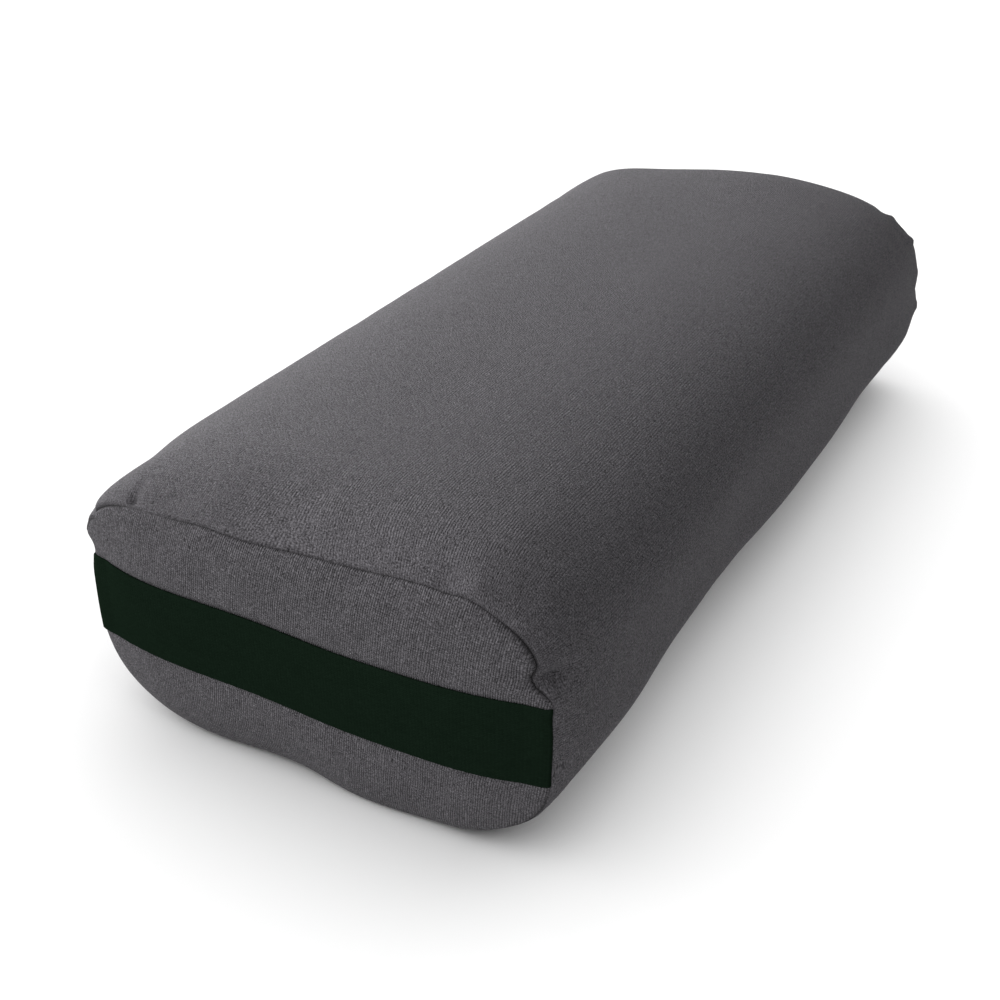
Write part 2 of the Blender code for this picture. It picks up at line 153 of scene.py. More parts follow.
# Hems beside the zip: width, rise, and the ramps at their inner edge and past the zip's ends
HEM_WIDTH = 0.008
HEM_RISE = 0.0004
HEM_RAMP = 0.0015
HEM_OVERRUN = 0.012
HEM_END_RAMP = 0.006

# Webbing handle, the dent that it presses into the end panel, and the tuck of its ends
WEBBING_LOW, WEBBING_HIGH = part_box("handle_webbing")
WEBBING_WIDTH = WEBBING_HIGH.z - WEBBING_LOW.z
WEBBING_HEIGHT = (WEBBING_HIGH.z + WEBBING_LOW.z) / 2
WEBBING_THICKNESS = 0.0018
WEBBING_STATIONS = 150
WEBBING_CROWDING = 0.8
WEBBING_ROWS = 24
SELVAGE_POINTS = 8
WEBBING_SINK = 0.0016
SINK_END = 0.004
SINK_RAMP = 0.010
DENT_MARGIN = 0.001
DENT_RAMP = 0.005
PANEL_CLEARANCE = 0.0002
TUCK_DEPTH = 0.006
TUCK_PRESS = 0.4
TUCK_POWER = 6
TUCK_TURN_POINTS = 12
TUCK_POINTS = 6

# Zip, with the reach over which it holds the cover's side still
ZIP_LENGTH = 0.400
ZIP_SLIT = 0.0096
ZIP_HELD = 0.012
ZIP_HELD_RAMP = 0.020
ZIP_HELD_OVERRUN = 0.01
SLIT_CLOSING = 0.006
SIDE_SEAM_PARTING = 0.0001
COIL_PITCH = 0.0016
COIL_WIRE = 0.00036
COIL_MEET = -0.00045
COIL_POINTS = 10
COIL_SQUARING = (0.6, 0.8)
TAPE_PARTING = 0.00043
TAPE_PARTING_PAST_STOPS = 0.00005
TAPE_CLOSING = 0.002
TAPE_GRID = (211, 9)
STOP_ROUND = 0.00055

# Stitches
STITCH_LENGTH = 0.0027
STITCH_SPACING = 0.0034
STITCH_THREAD = 0.0005
STITCH_POINTS = 6
STITCH_LIFT = 0.5
STITCH_TAPER = 0.5
SEAM_THREAD = 0.0008
TOPSTITCH_POINTS = 300

# Zip slider and pull
SLIDER_PLATE = 0.0012
SLIDER_SQUARENESS = 3.4
SLIDER_TAPER = 0.12
SLIDER_INSET = 0.0005
OUTER_EDGE = 0.00045
INNER_EDGE = 0.00030
BRIDGE_LENGTH = 0.003
BRIDGE_WIDTH = 0.0008
BRIDGE_EDGE = 0.00005
SLIDER_WALL = 0.0009
WALL_SHARE = 0.86
WALL_LAP = 0.0008
WALL_EDGE = 0.0002
WALL_SQUARENESS = 6.0
EDGE_POINTS = 9
FACE_SHARE = 0.9
BAIL_BAR = 0.0009
BAIL_WIDTH = 0.0020
BAIL_OPENING = 0.0036
BAIL_ARCH = 0.55
BAIL_ROOT = 0.0004
BAIL_POINTS = 17
BAIL_SIDES = 16
PULL_EYE = (0.0034, 0.0032)
PULL_SQUARENESS = 4.0
PULL_POINTS = 64
PULL_ROUND = 0.6
PULL_EDGE_POINTS = 7
ROUND_SQUARING = 0.5

# Spare cloth of the cover: its simulation, and the ripples that are kept of it
SLACK_STEP = 0.007
SLACK_RINGS = 20
SLACK_FRAMES = 14
SLACK_QUALITY = 4
SLACK_STIFFNESS = 2.5
SLACK_PRESSURE = 1.2
SLACK_SHARE = 0.009
POLE_HELD = 0.9
FLOOR_HELD = 0.003
ZIP_FREE_SHARE = 0.2
WEBBING_HELD_SHARE = 0.5
RIPPLE_REACH = 0.034
RIPPLE_SHARE = 0.30
RIPPLE_CAP = 0.0012
RIPPLE_BLEND = 0.8
RIPPLE_CLEAR = 0.006
RIPPLE_CLEAR_PANEL = 0.005
RIPPLE_FADE = 0.07
RIPPLE_REST = 0.3

# Lining and filling, with the rings of their end panels as shares of the way from the middle to the rim
LINER_CLOTH = 0.0005
LINER_SIDE_ROOM = 0.0035
LINER_INSET = 0.0022
LINER_STITCH_SHARE = 0.975
BATTING_INSET = 0.0034
BATTING_SIDE = 0.0048
BATTING_END = 0.001
LINING_END = SEAM - 0.0040
LINING_LIFT = 0.22
LINING_CROWN = 0.985
LINER_SHARES = np.append(np.linspace(POLE_SHARE, 0.76, 12), np.linspace(0.80, 1, 9))
PAD_SHARES = np.append(np.linspace(0.97, 0.80, 5), np.linspace(0.72, POLE_SHARE, 9))
PAD_BASE_RINGS = 6
CORE_ROUND = 0.020
CORE_ROUND_STEPS = 7
CORE_LOW, CORE_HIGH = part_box("foam_core")
CORE_SIZE = CORE_HIGH - CORE_LOW
CORE_ROOM = 0.0006
CORE_SQUARENESS = 9

# Weave: how its yarns wander, how far each rises, and what sets the tones of its yarns and crossings apart
YARN_DRIFT = 0.07
YARN_WANDER = 0.21
YARN_RUN = 0.30
WARP_RISE = (0.70, 0.30)
WEFT_RISE = (0.38, 0.38)
YARN_SEEDS = (7.31, 5.77)
CROSSING_SEEDS = (1.37, 2.11)

# Canvas: yarn pitches, and sizes, limits and weights of the fibre, patches, nubs, flecks and clouds on them
CANVAS_WARP = 0.00150
CANVAS_WEFT = 0.00145
CANVAS_SLUB = 1.6
FELT_GRAIN = (0.0009, 0.0009)
FUZZ_GRAIN = (0.0005, 0.0005)
PATCH_SIZE = (0.012, 0.015)
NUB_SIZE = (0.0024, 0.0032)
FLECK_SIZE = (0.0015, 0.0030)
CLOUD_SIZE = (0.045, 0.070)
PATCH_LIMITS = (0.35, 0.65)
NUB_LIMITS = (0.68, 0.76)
FLECK_LIMITS = (0.62, 0.76)
YARN_MIDDLE = 0.6
FELT_COVER = 1.15
FELT_HEIGHT = 2.2
FUZZ_HEIGHT = 0.30
NUB_HEIGHT = 0.3
CANVAS_TONE = 0.50
YARN_TONE = 0.9
FELT_TONE = 1.5
CLOUD_TONE = 0.12
FLECK_TONE = 0.20
NUB_TONE = 0.45
# Painted shade between the yarns, from their height: the heights over which it ramps, and the values that
# keep its mean level
GAP_SHADE_RANGE = (-0.10, 0.95)
GAP_SHADE_MEAN = 0.66
GAP_SHADE_DROP = 0.52
# Painted shadow in the end seams' fold: how far it darkens the cloth, and its colour
SEAM_SHADOW_DARKNESS = 0.92
SEAM_SHADOW_COLOUR = (0.012, 0.011, 0.012)
PANEL_TILT = math.radians(8)
PANEL_SCALE = 1.12
PANEL_GRAIN = PANEL_SCALE * np.array([
    [math.cos(PANEL_TILT), math.sin(PANEL_TILT)],
    [-math.sin(PANEL_TILT), math.cos(PANEL_TILT)],
])

# Darkest and lightest colour of each finish
SHADES = {
    "canvas": ((0.047, 0.044, 0.049), (0.218, 0.208, 0.226)),
    "webbing": ((0.0042, 0.0088, 0.0052), (0.0088, 0.0175, 0.0108)),
    "thread": ((0.020, 0.019, 0.021), (0.075, 0.072, 0.078)),
    "tape": ((0.014, 0.0135, 0.0145), (0.042, 0.041, 0.043)),
    "coil": ((0.016, 0.016, 0.017), (0.038, 0.038, 0.040)),
    "metal": ((0.022, 0.022, 0.024), (0.110, 0.108, 0.105)),
    "cotton": ((0.62, 0.58, 0.49), (0.78, 0.745, 0.66)),
    "batting": ((0.66, 0.63, 0.56), (0.90, 0.88, 0.83)),
    "foam": ((0.48, 0.43, 0.28), (0.82, 0.78, 0.60)),
}
SEED_SHADE = (0.30, 0.22, 0.13)
WHITE = (1.0, 1.0, 1.0)

# Studio light: a soft low key from the left and a weaker fill from the front, both flagged off the floor, a
# wide overhead for the floor alone, and the sky. Each lamp is azimuth, height, softness and level.
KEY = (165, 20, 60, 4.62)
FILL = (240, 30, 60, 1.88)
OVERHEAD = (140, 76, 120, 3.22)
SKY_FILL = 0.23
FLOOR_GREY = 0.60
FLOOR_SIZE = 60


def mix(middle, end, share):
    """A value that goes from middle to end as the share goes from 0 to 1."""
    return middle * (1 - share) + end * share


def ease(share):
    """A smooth step: 0 below a share s of 0, 1 above 1, and 3 s^2 - 2 s^3 between."""
    share = share.clip(0, 1)
    return share * share * (3 - 2 * share)


def unit(vectors):
    """Vectors brought to a length of 1."""
    return vectors / np.linalg.norm(vectors, axis=-1, keepdims=True).clip(1e-12)


def joined_columns(*parts):
    """Numbers and arrays spread over one grid and put side by side as its last axis."""
    return np.stack(np.broadcast_arrays(*parts), axis=-1)


def near_to(x, z, place, reach):
    """1 at a place of the section, falling with distance as e^-(distance / reach)^2."""
    return np.exp(-(((x - place[0]) / reach[0]) ** 2) - ((z - place[1]) / reach[1]) ** 2)


def rounded_square(turn, *powers):
    """A circle's cosine and sine, each raised to its power with its sign kept, which squares it up."""
    c, s = np.cos(turn), np.sin(turn)
    return np.sign(c) * abs(c) ** powers[0], np.sign(s) * abs(s) ** powers[-1]


# Shapes of the cushion


def even_turns(reach, rise, power, spacing):
    """Turns of a superellipse quarter from its side to its crown, evenly spaced along its length."""
    turn = np.linspace(0, np.pi / 2, CURVE_SAMPLES)
    across = reach * np.cos(turn).clip(0) ** (2 / power)
    up = rise * np.sin(turn) ** (2 / power)
    run = np.append(0, np.hypot(np.diff(across), np.diff(up)).cumsum())
    steps = round(run[-1] / spacing)
    return np.interp(np.linspace(0, run[-1], steps + 1), run, turn)


def outline(y, spacing, opening=0.0, edge_spacing=None):
    """The cushion's outline at stations along Y, as an array of (station, point, xyz).

    Each station runs clockwise seen from the front, from the zip's upper edge over the top and back to
    its lower edge. The top is x = half cos^(2/p), z = high + (top - high) sin^(2/p), with the turn going
    from the side to the crown and back, and the underside is the same about a level strip in its middle.
    Half, top, strip and power p all go from their middle to their end values by the power DRAW_POWER of
    the nearness to the end seam.
    """
    y = np.asarray(y, float)[:, None]
    share = (1 - (SEAM - abs(y)) / DRAW_LENGTH).clip(0) ** DRAW_POWER
    half = mix(WIDTH, SEAM_WIDTH, share) / 2
    top = mix(HEIGHT, SEAM_TOP, share)
    low = mix(-FLOOR_CUT, SEAM_BOTTOM, share)
    strip = mix(FLOOR_FLAT, FLOOR_FLAT_END, share) / 2
    high_side = SIDE_HEIGHT + SIDE_FLAT / 2
    low_side = SIDE_HEIGHT - SIDE_FLAT / 2
    up = even_turns(WIDTH / 2, HEIGHT - high_side, TOP_POWER, spacing)
    down = even_turns((WIDTH - FLOOR_FLAT) / 2, low_side, BOTTOM_POWER, spacing)
    up_power = 2 / mix(TOP_POWER, TOP_POWER_END, share)
    down_power = 2 / mix(BOTTOM_POWER, BOTTOM_POWER_END, share)
    roof_x = half * np.cos(up).clip(0) ** up_power
    roof_z = high_side + (top - high_side) * np.sin(up) ** up_power
    keel_x = strip + (half - strip) * np.cos(down).clip(0) ** down_power
    keel_z = low_side - (low_side - low) * np.sin(down) ** down_power
    band = np.linspace(1, -1, round(SIDE_FLAT / spacing) + 1)[1:-1] * SIDE_FLAT / 2 + 0 * y
    floor = strip * np.linspace(1, -1, round(FLOOR_FLAT / spacing) + 1)[1:-1]
    rise = np.linspace(0, 1, round(SIDE_FLAT / 2 / (edge_spacing or spacing)) + 1)[:-1]
    parted = np.broadcast_to(np.asarray(opening, float) / 2, (len(y),))[:, None]
    hem = parted + (SIDE_FLAT / 2 - parted) * rise
    x = [-half + 0 * hem, -roof_x, roof_x[:, -2::-1], half + 0 * band, keel_x]
    x += [floor, -keel_x[:, ::-1], -half + 0 * hem]
    z = [SIDE_HEIGHT + hem, roof_z, roof_z[:, -2::-1], SIDE_HEIGHT + band, keel_z]
    z += [low + 0 * floor, keel_z[:, ::-1], SIDE_HEIGHT - hem[:, ::-1]]
    x, z = np.concatenate(x, axis=1), np.concatenate(z, axis=1)
    return np.stack([x, y + 0 * x, z.clip(0)], axis=-1)


def growing(first, growth, step, length):
    """Distances from 0 to length whose steps grow from first until they reach step, then stay even."""
    steps = first * growth ** np.arange(math.ceil(math.log(step / first, growth)))
    start = np.append(0, steps.cumsum())
    rest = round((length - start[-1]) / step)
    return np.append(start[:-1], np.linspace(start[-1], length, rest + 1))


def along_wrap(first, growth, step, end=SEAM):
    """Stations from one end of a wrapped panel to the other, closest beside its ends."""
    half = growing(first, growth, step, end) - end
    return np.append(half, -half[-2::-1])


def dome(rim, shares, side):
    """An end panel: its rim drawn towards its centre by each share r, standing out by bulge (1 - r^power)."""
    centre = CENTRE + (0, side * SEAM, 0)
    shares = np.asarray(shares)[:, None]
    points = centre + (rim - centre) * shares[..., None]
    points[..., 1] = side * (SEAM + END_BULGE * (1 - shares**END_POWER))
    return points


def normals_of(points, inside_out=False):
    """Outward normals of a grid: the cross product of its slope around with its slope along."""
    along = np.gradient(points, axis=0)
    around = np.gradient(points, axis=1)
    return unit(np.cross(around, along) * (-1 if inside_out else 1))


def run_along(points):
    """Distance of each point from the first row, measured along a path or along a grid's columns."""
    steps = np.linalg.norm(np.diff(points, axis=0), axis=-1)
    return np.concatenate([np.zeros_like(steps[:1]), steps.cumsum(axis=0)])


def drawn_in(rim, distance):
    """A rim moved towards the middle of its section by a distance."""
    way = CENTRE - rim
    way[:, 1] = 0
    return rim + unit(way) * distance


# How far a push reaches, in millimetres: at the front rim, low at the front, and on the sides and rear
RIM = (24, 45, 24)
FOOT = (24, 40, 24)
SIDE = (40, 45, 40)

# Where the stuffed cloth bulges, sinks and puckers, in millimetres: (centre, reach, shift)
PUSHES = (
    ((-139, -327, 132), RIM, (-1.2, 0.2, 3.1)),
    ((-108, -327, 146), RIM, (-1.8, -0.3, 0.4)),
    ((-78, -327, 151), RIM, (-1.2, -0.6, -3.1)),
    ((-36, -327, 153), RIM, (-3.9, -1, -3.7)),
    ((-9, -327, 153), RIM, (1.7, -0.1, -2.3)),
    ((28, -327, 153), RIM, (0, -0.2, -1.2)),
    ((64, -327, 152), RIM, (1, 0.3, 1.6)),
    ((96, -327, 148), RIM, (4.7, 1, 4.9)),
    ((129, -327, 139), RIM, (1.4, 0, 2.2)),
    ((144, -327, 42), RIM, (0, -0.2, 1.1)),
    ((147, -327, 118), RIM, (-0.6, -0.2, -0.3)),
    ((148, -327, 88), RIM, (1.7, -0.4, 1.3)),
    ((-115, 292, 161), SIDE, (-2.6, -0.2, -0.5)),
    ((-147, -329, 101), FOOT, (1.1, 0.2, 0.4)),
    ((-147, -329, 74), FOOT, (0, -0.3, -1.6)),
    ((-128, -328, 23), FOOT, (0.5, -0.1, -1.2)),
    ((101, 307, 162), SIDE, (-2.2, 0, 1.6)),
    ((139, 319, 138), SIDE, (-2.7, -0.1, 0.2)),
    ((153, 313, 91), SIDE, (2.3, 0.1, 0.9)),
    ((148, 315, 44), SIDE, (-0.5, 0.1, 1)),
    ((155, 262, 58), SIDE, (2.3, 0.1, 0.2)),
    ((153, 113, 53), SIDE, (1.4, 0, -0.5)),
    ((152, 66, 51), SIDE, (1.4, 0, -0.7)),
    ((155, 6, 58), SIDE, (1.5, 0, -0.7)),
    ((156, -95, 60), SIDE, (-1.8, 0, 0.8)),
    ((152, -143, 51), SIDE, (-1, 0, 0.4)),
    ((155, -197, 58), SIDE, (-1.4, 0, 0.7)),
    ((154, -244, 55), SIDE, (1.6, -0.2, -2.2)),
    ((-97, -328, 11), FOOT, (-1.5, -0.6, -1.6)),
    ((-70, -326, 4), FOOT, (0.1, -0.2, -1.2)),
    ((-39, -328, 3), FOOT, (0.2, 0.3, 1.6)),
    ((-10, -329, 5), FOOT, (0.4, 0.5, 2.3)),
    ((21, -330, 9), FOOT, (0.5, -1.2, -2)),
    ((50, -328, 5), FOOT, (-0.5, -1.7, -1.1)),
    ((81, -327, 5), FOOT, (0.5, -0.3, -1.3)),
    ((112, -327, 12), FOOT, (-6.6, -1.3, -3.5)),
    ((-64, 303, 170), SIDE, (-0.5, -0.2, -3.9)),
    ((35, 298, 173), SIDE, (0.5, 0.1, 1.8)),
    ((148, -327, 106), (18, 17, 7), (0.6, -0.2, 0.1)),
    ((148, -327, 112), (18, 17, 6), (1.3, -0.1, 0)),
    ((146, -327, 118), (18, 17, 6), (-8.8, 0, -0.1)),
    ((146, -327, 124), (18, 17, 7), (-1.5, 0, 0)),
    ((146, -327, 132), (18, 17, 9), (-1.8, -0.3, 0)),
    ((-147, -327, 122), (18, 17, 9), (-0.8, 0.2, 0)),
    ((-147, -327, 108), (18, 17, 8), (2.4, 0.2, 0)),
    ((-142, -292, 146), (26, 30, 26), (4, 0.6, -0.9)),
    ((-90, -337, 81), (42, 30, 34), (-2.4, -0.4, -1.5)),
    ((30, -337, 81), (42, 30, 34), (0.2, -0.5, -4.4)),
    ((90, -337, 81), (42, 30, 34), (0.1, -0.6, -2.7)),
)

# Furrows drawn into the cloth, in millimetres: (start, end, width, shift at the start), fading to the end
FURROWS = (
    ((-107.5, -323, 150), (-107, -305, 159), 3.2, (0.6, 0.4, -3.8)),
    ((151, -317, 119), (152, -299, 130), 4.4, (-3.2, 0.6, -0.4)),
    ((-143, -326, 131), (-149, -312, 130), 3.2, (3.4, 0, -1.2)),
    ((-147, -326, 118), (-150, -314, 117), 3.6, (-2.2, 0, -0.6)),
    ((86, -323, 153), (76, -302, 165), 6.0, (0, 0, -2.0)),
    ((101, -320, 154), (86, -300, 165), 6.0, (0, 0, 1.6)),
    ((153, 314, 126), (155, 276, 128), 4.0, (-2.4, 0, -0.4)),
    ((154, 314, 95), (156, 276, 94), 4.4, (-3.2, 0, 0)),
    ((153, 314, 66), (155, 276, 62), 5.0, (-3.6, 0, 0.5)),
    ((142, 314, 142), (145, 276, 148), 4.0, (-1.8, 0, -2.2)),
    ((122, 314, 151), (122, 276, 159), 4.5, (-0.2, 0, -2.0)),
    ((131, 314, 148), (131, 284, 152), 3.2, (0.4, 0, 1.6)),
    ((150, 314, 134), (151, 284, 136), 3.8, (4.0, 0, 1.6)),
    ((155, 310, 108), (156, 276, 109), 4.0, (1.2, 0, 0)),
    ((156, 310, 79), (156, 276, 78), 4.0, (3.4, 0, 0)),
    ((143, 290, 146), (156, 280, 76), 4.6, (-1.0, 0, -0.6)),
    ((144, 268, 145), (156, 254, 66), 5.5, (-1.1, 0, -0.6)),
    ((146, 232, 142), (157, 218, 62), 6.5, (-0.9, 0, -0.4)),
    ((148, 186, 139), (157, 174, 74), 8.0, (-0.8, 0, -0.4)),
)


def pushed(points):
    """Points moved by every push, shift e^-(distance / reach)^2, and by every furrow across its line.

    The stiff zip holds its own stretch of the side.
    """
    moved = points.copy()
    for centre, reach, shift in np.array(PUSHES) / 1000:
        away = (((points - centre) / reach) ** 2).sum(axis=-1)
        moved += np.exp(-away)[..., None] * shift
    for start, end, width, shift in FURROWS:
        start, end = np.array(start) / 1000, np.array(end) / 1000
        share = ((points - start) @ (end - start) / ((end - start) @ (end - start))).clip(0, 1)
        away = np.linalg.norm(points - (start + share[..., None] * (end - start)), axis=-1)
        depth = np.exp(-((away / width * 1000) ** 2)) * (1 - share) ** 2
        moved += depth[..., None] * np.array(shift) / 1000
    return points + (moved - points) * clear_of_zip(points)[..., None]


def clear_of_zip(points):
    """0 beside the zip, rising to 1 over the ramp ZIP_HELD_RAMP."""
    past = (abs(points[..., 1]) - ZIP_LENGTH / 2 - ZIP_HELD_OVERRUN).clip(0)
    from_zip = np.hypot(points[..., 2] - SIDE_HEIGHT, past)
    return np.where(on_zip_side(points), ease((from_zip - ZIP_HELD) / ZIP_HELD_RAMP), 1)


def on_zip_side(points):
    """True for the points on the side that has the zip."""
    return points[..., 0] < -WIDTH / 4


def settle(points):
    """Points pushed into place, with the webbing sunk a little into the front end, none below the floor."""
    moved = pushed(points)
    moved[..., 1] += WEBBING_SINK * under_webbing(points)
    moved[..., 2] = moved[..., 2].clip(0)
    return moved


def sunk_along(x):
    """1 along the webbing's middle, falling to 0 just before its ends."""
    return ((SEAM_WIDTH / 2 - SINK_END - abs(x)) / SINK_RAMP).clip(0, 1)


def under_webbing(points):
    """1 where the front end panel lies under the webbing, falling to 0 past the webbing's edges."""
    past = (abs(points[..., 2] - WEBBING_HEIGHT) - WEBBING_WIDTH / 2 + DENT_MARGIN) / DENT_RAMP
    on_panel = points[..., 1] < -SEAM - PANEL_CLEARANCE
    return np.where(on_panel, ease(1 - past) * sunk_along(points[..., 0]), 0)


# Meshes


def placed(name, data):
    """A new object of the scene that holds a mesh, lamp or camera."""
    item = bpy.data.objects.new(name, data)
    bpy.context.scene.collection.objects.link(item)
    return item


def smooth_mesh(name, points, faces):
    """A new mesh of points and faces, smoothly shaded."""
    mesh = bpy.data.meshes.new(name)
    mesh.from_pydata(points.reshape(-1, 3).tolist(), [], faces)
    mesh.shade_smooth()
    return mesh


def surface(name, points, uv=None, closed=False, caps=(False, False), flip=False, tone=None):
    """A mesh from a grid of points: each cell a face, the last column joined to the first if closed.

    uv holds each point's place on the flat cloth in metres, and tone the strength from 0 to 1 of the painted
    seam shadow that its material draws.
    caps closes the first and the last row with a face each, and flip turns every face round.
    """
    rows, count = points.shape[:2]
    columns = np.arange(count if closed else count - 1)
    following = (columns + 1) % count
    start = np.arange(rows - 1)[:, None] * count
    ends = (start + columns, start + following, start + count + following, start + count + columns)
    faces = np.stack(ends, axis=-1).reshape(-1, 4).tolist()
    if caps[0]:
        faces.append(list(range(count - 1, -1, -1)))
    if caps[1]:
        faces.append(list(range((rows - 1) * count, rows * count)))
    if flip:
        faces = [face[::-1] for face in faces]
    mesh = smooth_mesh(name, points, faces)
    if uv is not None:
        layer = mesh.uv_layers.new(name="cloth")
        corners = np.zeros(len(mesh.loops), np.int32)
        mesh.loops.foreach_get("vertex_index", corners)
        layer.data.foreach_set("uv", uv.reshape(-1, 2)[corners].astype(np.float32).ravel())
    if tone is not None:
        mark = mesh.attributes.new("seam_shadow", "FLOAT", "POINT")
        mark.data.foreach_set("value", np.broadcast_to(tone, (rows, count)).astype(np.float32).ravel())
    return placed(name, mesh)


def closed_up(item, sharp=None):
    """Merges a mesh's doubled points and turns its faces outwards, with creases past the angle sharp."""
    work = bmesh.new()
    work.from_mesh(item.data)
    bmesh.ops.remove_doubles(work, verts=work.verts, dist=1e-6)
    bmesh.ops.recalc_face_normals(work, faces=work.faces)
    work.to_mesh(item.data)
    work.free()
    if sharp is not None:
        item.data.set_sharp_from_angle(angle=math.radians(sharp))
    return item


def block(name, points, sharp=None):
    """A solid from rings of points, capped at both ends."""
    return closed_up(surface(name, points, closed=True, caps=(True, True)), sharp)


def thicken(item, thickness):
    """Gives a cloth surface its thickness, inwards."""
    wall = item.modifiers.new("cloth", "SOLIDIFY")
    wall.thickness = thickness
    wall.offset = -1
    return item


def dressed(item, material, node, body="cover"):
    """Gives a piece its material and its body, and hides the solid that it stands for."""
    item.data.materials.append(material)
    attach(item, body)
    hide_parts(node)


def tubes(name, centres, outwards, radius, sides=5, taper=0.0):
    """Round threads or wires, one for each row of centres: rings of points about each centreline.

    outwards gives the direction that each ring starts from, and the other is its cross product with the
    line's own direction. Both ends narrow by the share taper.
    """
    count, length = centres.shape[:2]
    tangent = unit(np.gradient(centres, axis=1))
    side = unit(np.cross(tangent, outwards))
    up = np.cross(side, tangent)
    angle = np.linspace(0, 2 * np.pi, sides, endpoint=False)[:, None]
    place = np.linspace(-1, 1, length)[:, None, None]
    size = radius * (1 - taper * place**6)
    rings = np.cos(angle) * up[:, :, None] + np.sin(angle) * side[:, :, None]
    points = centres[:, :, None] + rings * size
    j = np.arange(sides)
    cell = np.stack([j, (j + 1) % sides, (j + 1) % sides + sides, j + sides], axis=-1)
    rings_at = (np.arange(length - 1) * sides)[:, None, None]
    first = np.arange(count)[:, None] * length * sides
    faces = (first[..., None, None] + rings_at + cell).reshape(-1, 4).tolist()
    faces += (first + j[::-1]).tolist()
    faces += (first + (length - 1) * sides + j).tolist()
    return closed_up(placed(name, smooth_mesh(name, points, faces)))


def stitches(name, path, outwards, thread, closed=False):
    """Short raised stitches along a path: each a piece of the path lifted outwards by a half sine."""
    outwards = np.array(outwards)
    if closed:
        path = np.concatenate([path, path[:1]])
    run = run_along(path)
    count = int(run[-1] // STITCH_SPACING)
    share = np.linspace(0, 1, STITCH_POINTS)
    along = np.arange(count)[:, None] * run[-1] / count + share * STITCH_LENGTH
    centres = np.stack([np.interp(along, run, path[:, k]) for k in range(3)], axis=-1)
    centres = centres + outwards * (np.sin(np.pi * share) * thread * STITCH_LIFT)[:, None]
    return tubes(name, centres, outwards, thread / 2, taper=STITCH_TAPER)


def rounded_box(name, low, high, radius, steps=5):
    """A box with round edges: (size / 2 - radius) sign(n) + radius n for each direction n of a sphere's grid.

    The directions start a little past each quarter turn, so that the flat faces have edges of their own.
    """
    size, centre = np.array(high - low), np.array((low + high) / 2)
    start, pole = 0.02, 0.999
    quarter = np.linspace(start, 1, steps) * np.pi / 2
    around = np.concatenate([quarter + k * np.pi / 2 - start * np.pi / 2 for k in range(4)])
    up = np.concatenate([-quarter[::-1], quarter])[:, None] * pole
    turn = around + 0 * up
    normal = joined_columns(np.cos(up) * np.cos(turn), np.cos(up) * np.sin(turn), np.sin(up))
    points = centre + (size / 2 - radius) * np.sign(normal) + radius * normal
    return block(name, points, sharp=50)


def swept(path, sideways, out, up, press=1.0):
    """A section's points, out along sideways and up along Z, carried along a level path."""
    return path[:, None] + sideways[:, None] * out[:, None] * press + UPWARDS * up[:, None]


def sideways_of(path):
    """The level directions square to a level path."""
    tangent = unit(np.gradient(path, axis=0))
    return joined_columns(-tangent[:, 1], tangent[:, 0], 0)


def camera():
    """A camera that looks at its target from the photograph's direction, turned a little about its axis."""
    back = Vector((
        math.sin(CAMERA_AZIMUTH) * math.cos(CAMERA_ELEVATION),
        -math.cos(CAMERA_AZIMUTH) * math.cos(CAMERA_ELEVATION),
        math.sin(CAMERA_ELEVATION),
    ))
    data = bpy.data.cameras.new("camera")
    data.lens = CAMERA_LENS
    data.sensor_width = SENSOR_WIDTH
    item = placed("camera", data)
    item.rotation_mode = "QUATERNION"
    roll = Matrix.Rotation(CAMERA_ROLL, 3, "Z").to_quaternion()
    item.rotation_quaternion = (-back).to_track_quat("-Z", "Y") @ roll
    item.location = Vector(CAMERA_TARGET) + back * CAMERA_DISTANCE
    bpy.context.scene.camera = item


# Cloth simulation


def spread(at, known, reach, period=None):
    """Weights e^-(distance / reach)^2 of known places at new ones, each row adding up to 1.

    With a period, the places lie round a ring of that length.
    """
    away = np.asarray(at)[:, None] - np.asarray(known)[None]
    if period:
        away -= period * np.round(away / period)
    weights = np.exp(-((away / reach) ** 2))
    return weights / weights.sum(axis=1, keepdims=True)


def simulated(points, held):
    """Blender's cloth simulation of a closed grid that is blown up from inside, as each point's shift.

    The cloth is cut a little larger than its grid, so that it ripples between the points that are held.
    """
    item = surface("slack_cover", points, closed=True, caps=(True, True))
    group = item.vertex_groups.new(name="held")
    group.add(np.nonzero(held.ravel())[0].tolist(), 1.0, "REPLACE")
    cloth = item.modifiers.new("slack", "CLOTH")
    cloth.settings.quality = SLACK_QUALITY
    cloth.settings.vertex_group_mass = "held"
    cloth.settings.bending_stiffness = SLACK_STIFFNESS
    cloth.settings.use_pressure = True
    cloth.settings.uniform_pressure_force = SLACK_PRESSURE
    cloth.settings.shrink_min = -SLACK_SHARE
    cloth.settings.effector_weights.gravity = 0
    cloth.collision_settings.use_collision = False
    for frame in range(1, SLACK_FRAMES + 1):
        bpy.context.scene.frame_set(frame)
    shape = item.evaluated_get(bpy.context.evaluated_depsgraph_get()).data
    moved = np.empty(points.size, np.float32)
    shape.vertices.foreach_get("co", moved)
    mesh = item.data
    bpy.data.objects.remove(item)
    bpy.data.meshes.remove(mesh)
    bpy.context.scene.frame_set(1)
    return moved.reshape(points.shape) - points


